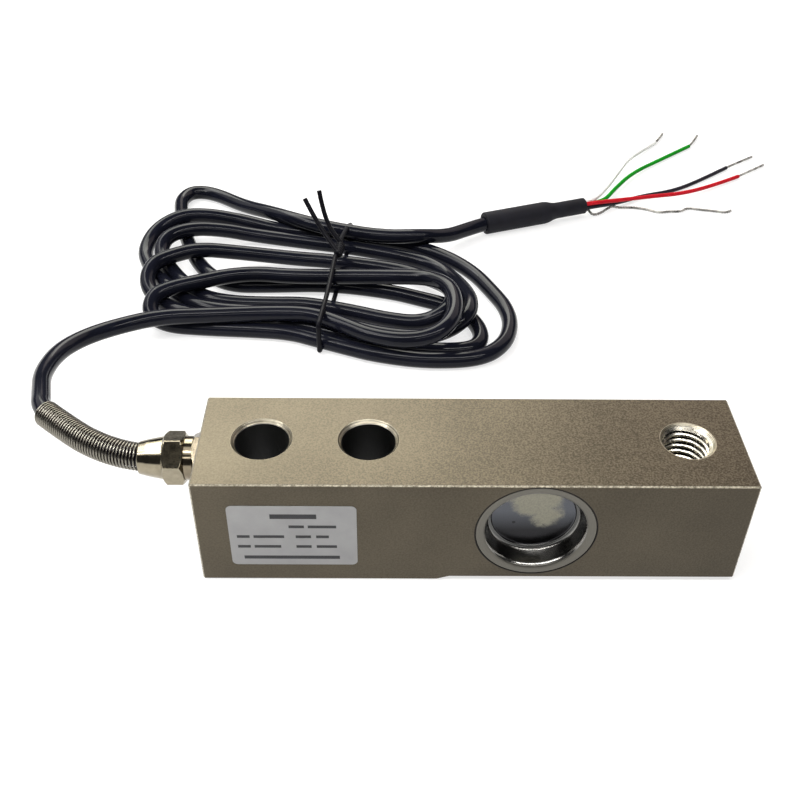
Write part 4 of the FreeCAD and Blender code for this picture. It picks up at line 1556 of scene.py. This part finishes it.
@dataclass
class CableEnd:
    """The shrunk sleeve with the bared wires in it.

    Lengths are in millimetres unless another unit is given.

    Attributes:
        start: The middle of the sleeve's wide end.
        along: The sleeve's direction.
        length: Its length.
        sleeve_steps: Segments round the sleeve.
        ring_r: The radius of the ring on which the wires lie in it.
        ring_at: How far along the sleeve the wires start.
        free_at: How far along it they start to spread.
        wire_r: The wires' radius.
        steps: How finely their splines are divided.
        sides: Their roundness.
        wires: Each wire's CAD node and route.
        strands: The strands in a bared end and in the drain wire.
        strand_r: A strand's radius.
        strand_points: Points in each turn of a strand.
        bared: How far a tip runs straight on before it bends.
        tip_steps: How finely a tip's line is divided.
        tip_turn: The radius and length of a turn of a tip's strands.
        drain_turn: The same of the drain wire's strands.
        drain_steps: How finely the drain wire's line is divided.
        drain_length: The drain wire's length in metres; not used.
        drain_diameter: Its diameter in metres; not used.
        drain_angle: Its place on the ring in degrees.
        drain_points: Its route.
    """

    start: Point = (52.5, 153.6, 4.15)
    along: Vector = field(default_factory=lambda: Vector((0.9388, 0.3445, 0)).normalized())
    length: float = 41.9
    sleeve_steps: int = 48
    ring_r: float = 1.255
    ring_at: float = 26.0
    free_at: float = 33.0
    wire_r: float = 0.78
    steps: int = 12
    sides: int = 4
    wires: dict[str, Core] = field(
        default_factory=lambda: {
            "white_wire": Core(
                WHITE_INSULATION,
                60.0,
                (
                    (94.5, 169.7, 5.2), (98.2, 175.0, 4.2), (103.4, 184.4, 3.4), (108.6, 195.2, 2.7),
                    (116.8, 212.3, 1.9), (124.4, 222.0, 1.3), (132.5, 231.5, 0.9),
                ),
                (137.8, 241.3, 0.6),
                0.0919,
            ),
            "green_wire": Core(
                GREEN_INSULATION,
                335.0,
                (
                    (94.5, 170.2, 3.6), (101.6, 175.6, 2.8), (106.5, 184.8, 2.3), (116.9, 201.2, 1.5),
                    (131.5, 215.0, 0.9), (146.5, 228.2, 0.9),
                ),
                (152.7, 239.5, 0.6),
                0.0978,
            ),
            "black_wire": Core(
                BLACK_INSULATION,
                205.0,
                (
                    (96.1, 168.4, 3.6), (107.0, 175.9, 1.3), (117.0, 182.4, 0.8), (131.0, 186.9, 0.8),
                    (144.6, 196.9, 0.8), (157.5, 207.8, 0.9),
                ),
                (171.4, 218.9, 0.6),
                0.0936,
            ),
            "red_wire": Core(
                RED_INSULATION,
                130.0,
                (
                    (96.0, 168.7, 5.1), (107.2, 174.2, 3.4), (120.0, 178.6, 2.7), (133.5, 182.9, 1.8),
                    (148.0, 191.2, 1.2), (160.5, 200.0, 0.9),
                ),
                (174.2, 211.3, 0.6),
                0.0923,
            ),
        }
    )
    strands: int = 3
    strand_r: float = 0.25
    strand_points: int = 14
    bared: float = 2.0
    tip_steps: int = 24
    tip_turn: Span = (0.28, 2.6)
    drain_turn: Span = (0.29, 3.2)
    drain_steps: int = 16
    drain_length: float = 0.0780
    drain_diameter: float = 0.0007
    drain_angle: float = 268.0
    drain_points: tuple[Point, ...] = (
        (89.0, 167.0, 2.9), (93.4, 168.9, 2.6), (95.2, 166.6, 0.9), (98.5, 168.2, 0.5),
        (104.2, 175.0, 0.5), (106.8, 173.2, 0.5), (112.0, 173.7, 0.5), (117.5, 172.2, 0.5),
        (121.6, 169.4, 0.5), (125.5, 170.6, 0.5), (130.4, 170.4, 0.5), (133.6, 173.6, 0.5),
        (138.2, 172.2, 0.5), (143.5, 171.2, 0.5), (148.6, 169.8, 0.5), (150.2, 171.6, 0.5),
    )

    def on_ring(self, angle: float, distance: float) -> Point:
        """Gives a place on the wires' ring in the sleeve.

        Args:
            angle: The place on the ring in degrees.
            distance: How far along the sleeve, in millimetres.

        Returns:
            The point in millimetres.
        """
        across = Vector((-self.along.y, self.along.x, 0))
        turn = across * math.cos(math.radians(angle)) + Vector((0, 0, math.sin(math.radians(angle))))
        return tuple(Vector(self.start) + self.along * distance + turn * self.ring_r)

    def stranded(self, name: str, line: list[Vector], turn: Span) -> bpy.types.Object:
        """Twists bare strands along a line.

        Args:
            name: The object's name.
            line: The line's points in metres.
            turn: The radius and length of a strand's turn.

        Returns:
            The strands.
        """
        return Winding(line, *turn, self.strand_r, self.strands, self.strand_points).mesh(name)

    def wire(self, name: str, core: Core) -> None:
        """Args:
            name: The wire's CAD node.
            core: The wire.
        """
        inside = [self.on_ring(core.angle, self.ring_at), self.on_ring(core.angle, self.free_at)]
        wire = Route([*inside, *core.free], self.steps).tube(name + "_laid", self.wire_r, self.sides)
        keep(wire, core.finish, name)
        last = Vector(core.free[-1])
        ahead = (last - Vector(core.free[-2])).normalized()
        bared = [tuple(last - ahead), tuple(last + ahead * self.bared), core.tip]
        strands = self.stranded(name + "_tip", Route(bared, self.tip_steps).line(), self.tip_turn)
        keep(strands, TINNED_COPPER, "tinned_tips")

    def drain(self) -> None:
        points = [self.on_ring(self.drain_angle, self.ring_at), *self.drain_points]
        line = Route(points, self.drain_steps).line()
        drain = self.stranded("drain_wire_strands", line, self.drain_turn)
        keep(drain, TINNED_COPPER, "drain_wire")

    def sleeve(self) -> bpy.types.Object:
        """Shrinks the sleeve: a wide end over the cable, a taper, and a slim end over the wires.

        Returns:
            The sleeve.
        """
        profile = [
            (4.1, 0.0, 0.6),
            (4.12, 25.6, 1.3),
            (3.02, 28.8, 1.6),
            (3.01, self.length, 0.3),
            (2.06, self.length, 0.0),
            (2.06, 28.0, 0.0),
            (2.62, 25.0, 0.0),
            (2.62, 0.0, 0.0),
        ]
        shape = Turning(profile, self.start, self.along, self.sleeve_steps).shape()
        return keep(meshed("heat_shrink_sleeve_fitted", shape), HEAT_SHRINK, "heat_shrink_sleeve")

    def build(self) -> bpy.types.Object:
        """Makes the sleeve and lays all the wires.

        Returns:
            The sleeve.
        """
        for name, core in self.wires.items():
            self.wire(name, core)
        self.drain()
        return self.sleeve()


@dataclass
class Gland:
    """The cable gland's pieces.

    Attributes:
        finishes: Each piece's finish.
    """

    finishes: dict[str, Finish] = field(
        default_factory=lambda: {
            "gland_gasket": BLACK_RUBBER,
            "gland_body": SHADED_GLAND_NICKEL,
            "gland_nut": GLAND_NICKEL,
            "gland_grommet": BLACK_RUBBER,
        }
    )

    def build(self) -> None:
        """Dresses the gland's solids."""
        for node, finish in self.finishes.items():
            repaint(node, finish)


def main() -> None:
    """Builds the studio and every sub-assembly in order."""
    logging.basicConfig(level=logging.INFO, format="%(name)s: %(message)s")
    Studio().build()
    sleeve = CableEnd().build()
    tie = Tie().build()
    Cable().build(tie, sleeve)
    Gland().build()
    Beam().build()


if __name__ == "__main__":
    main()
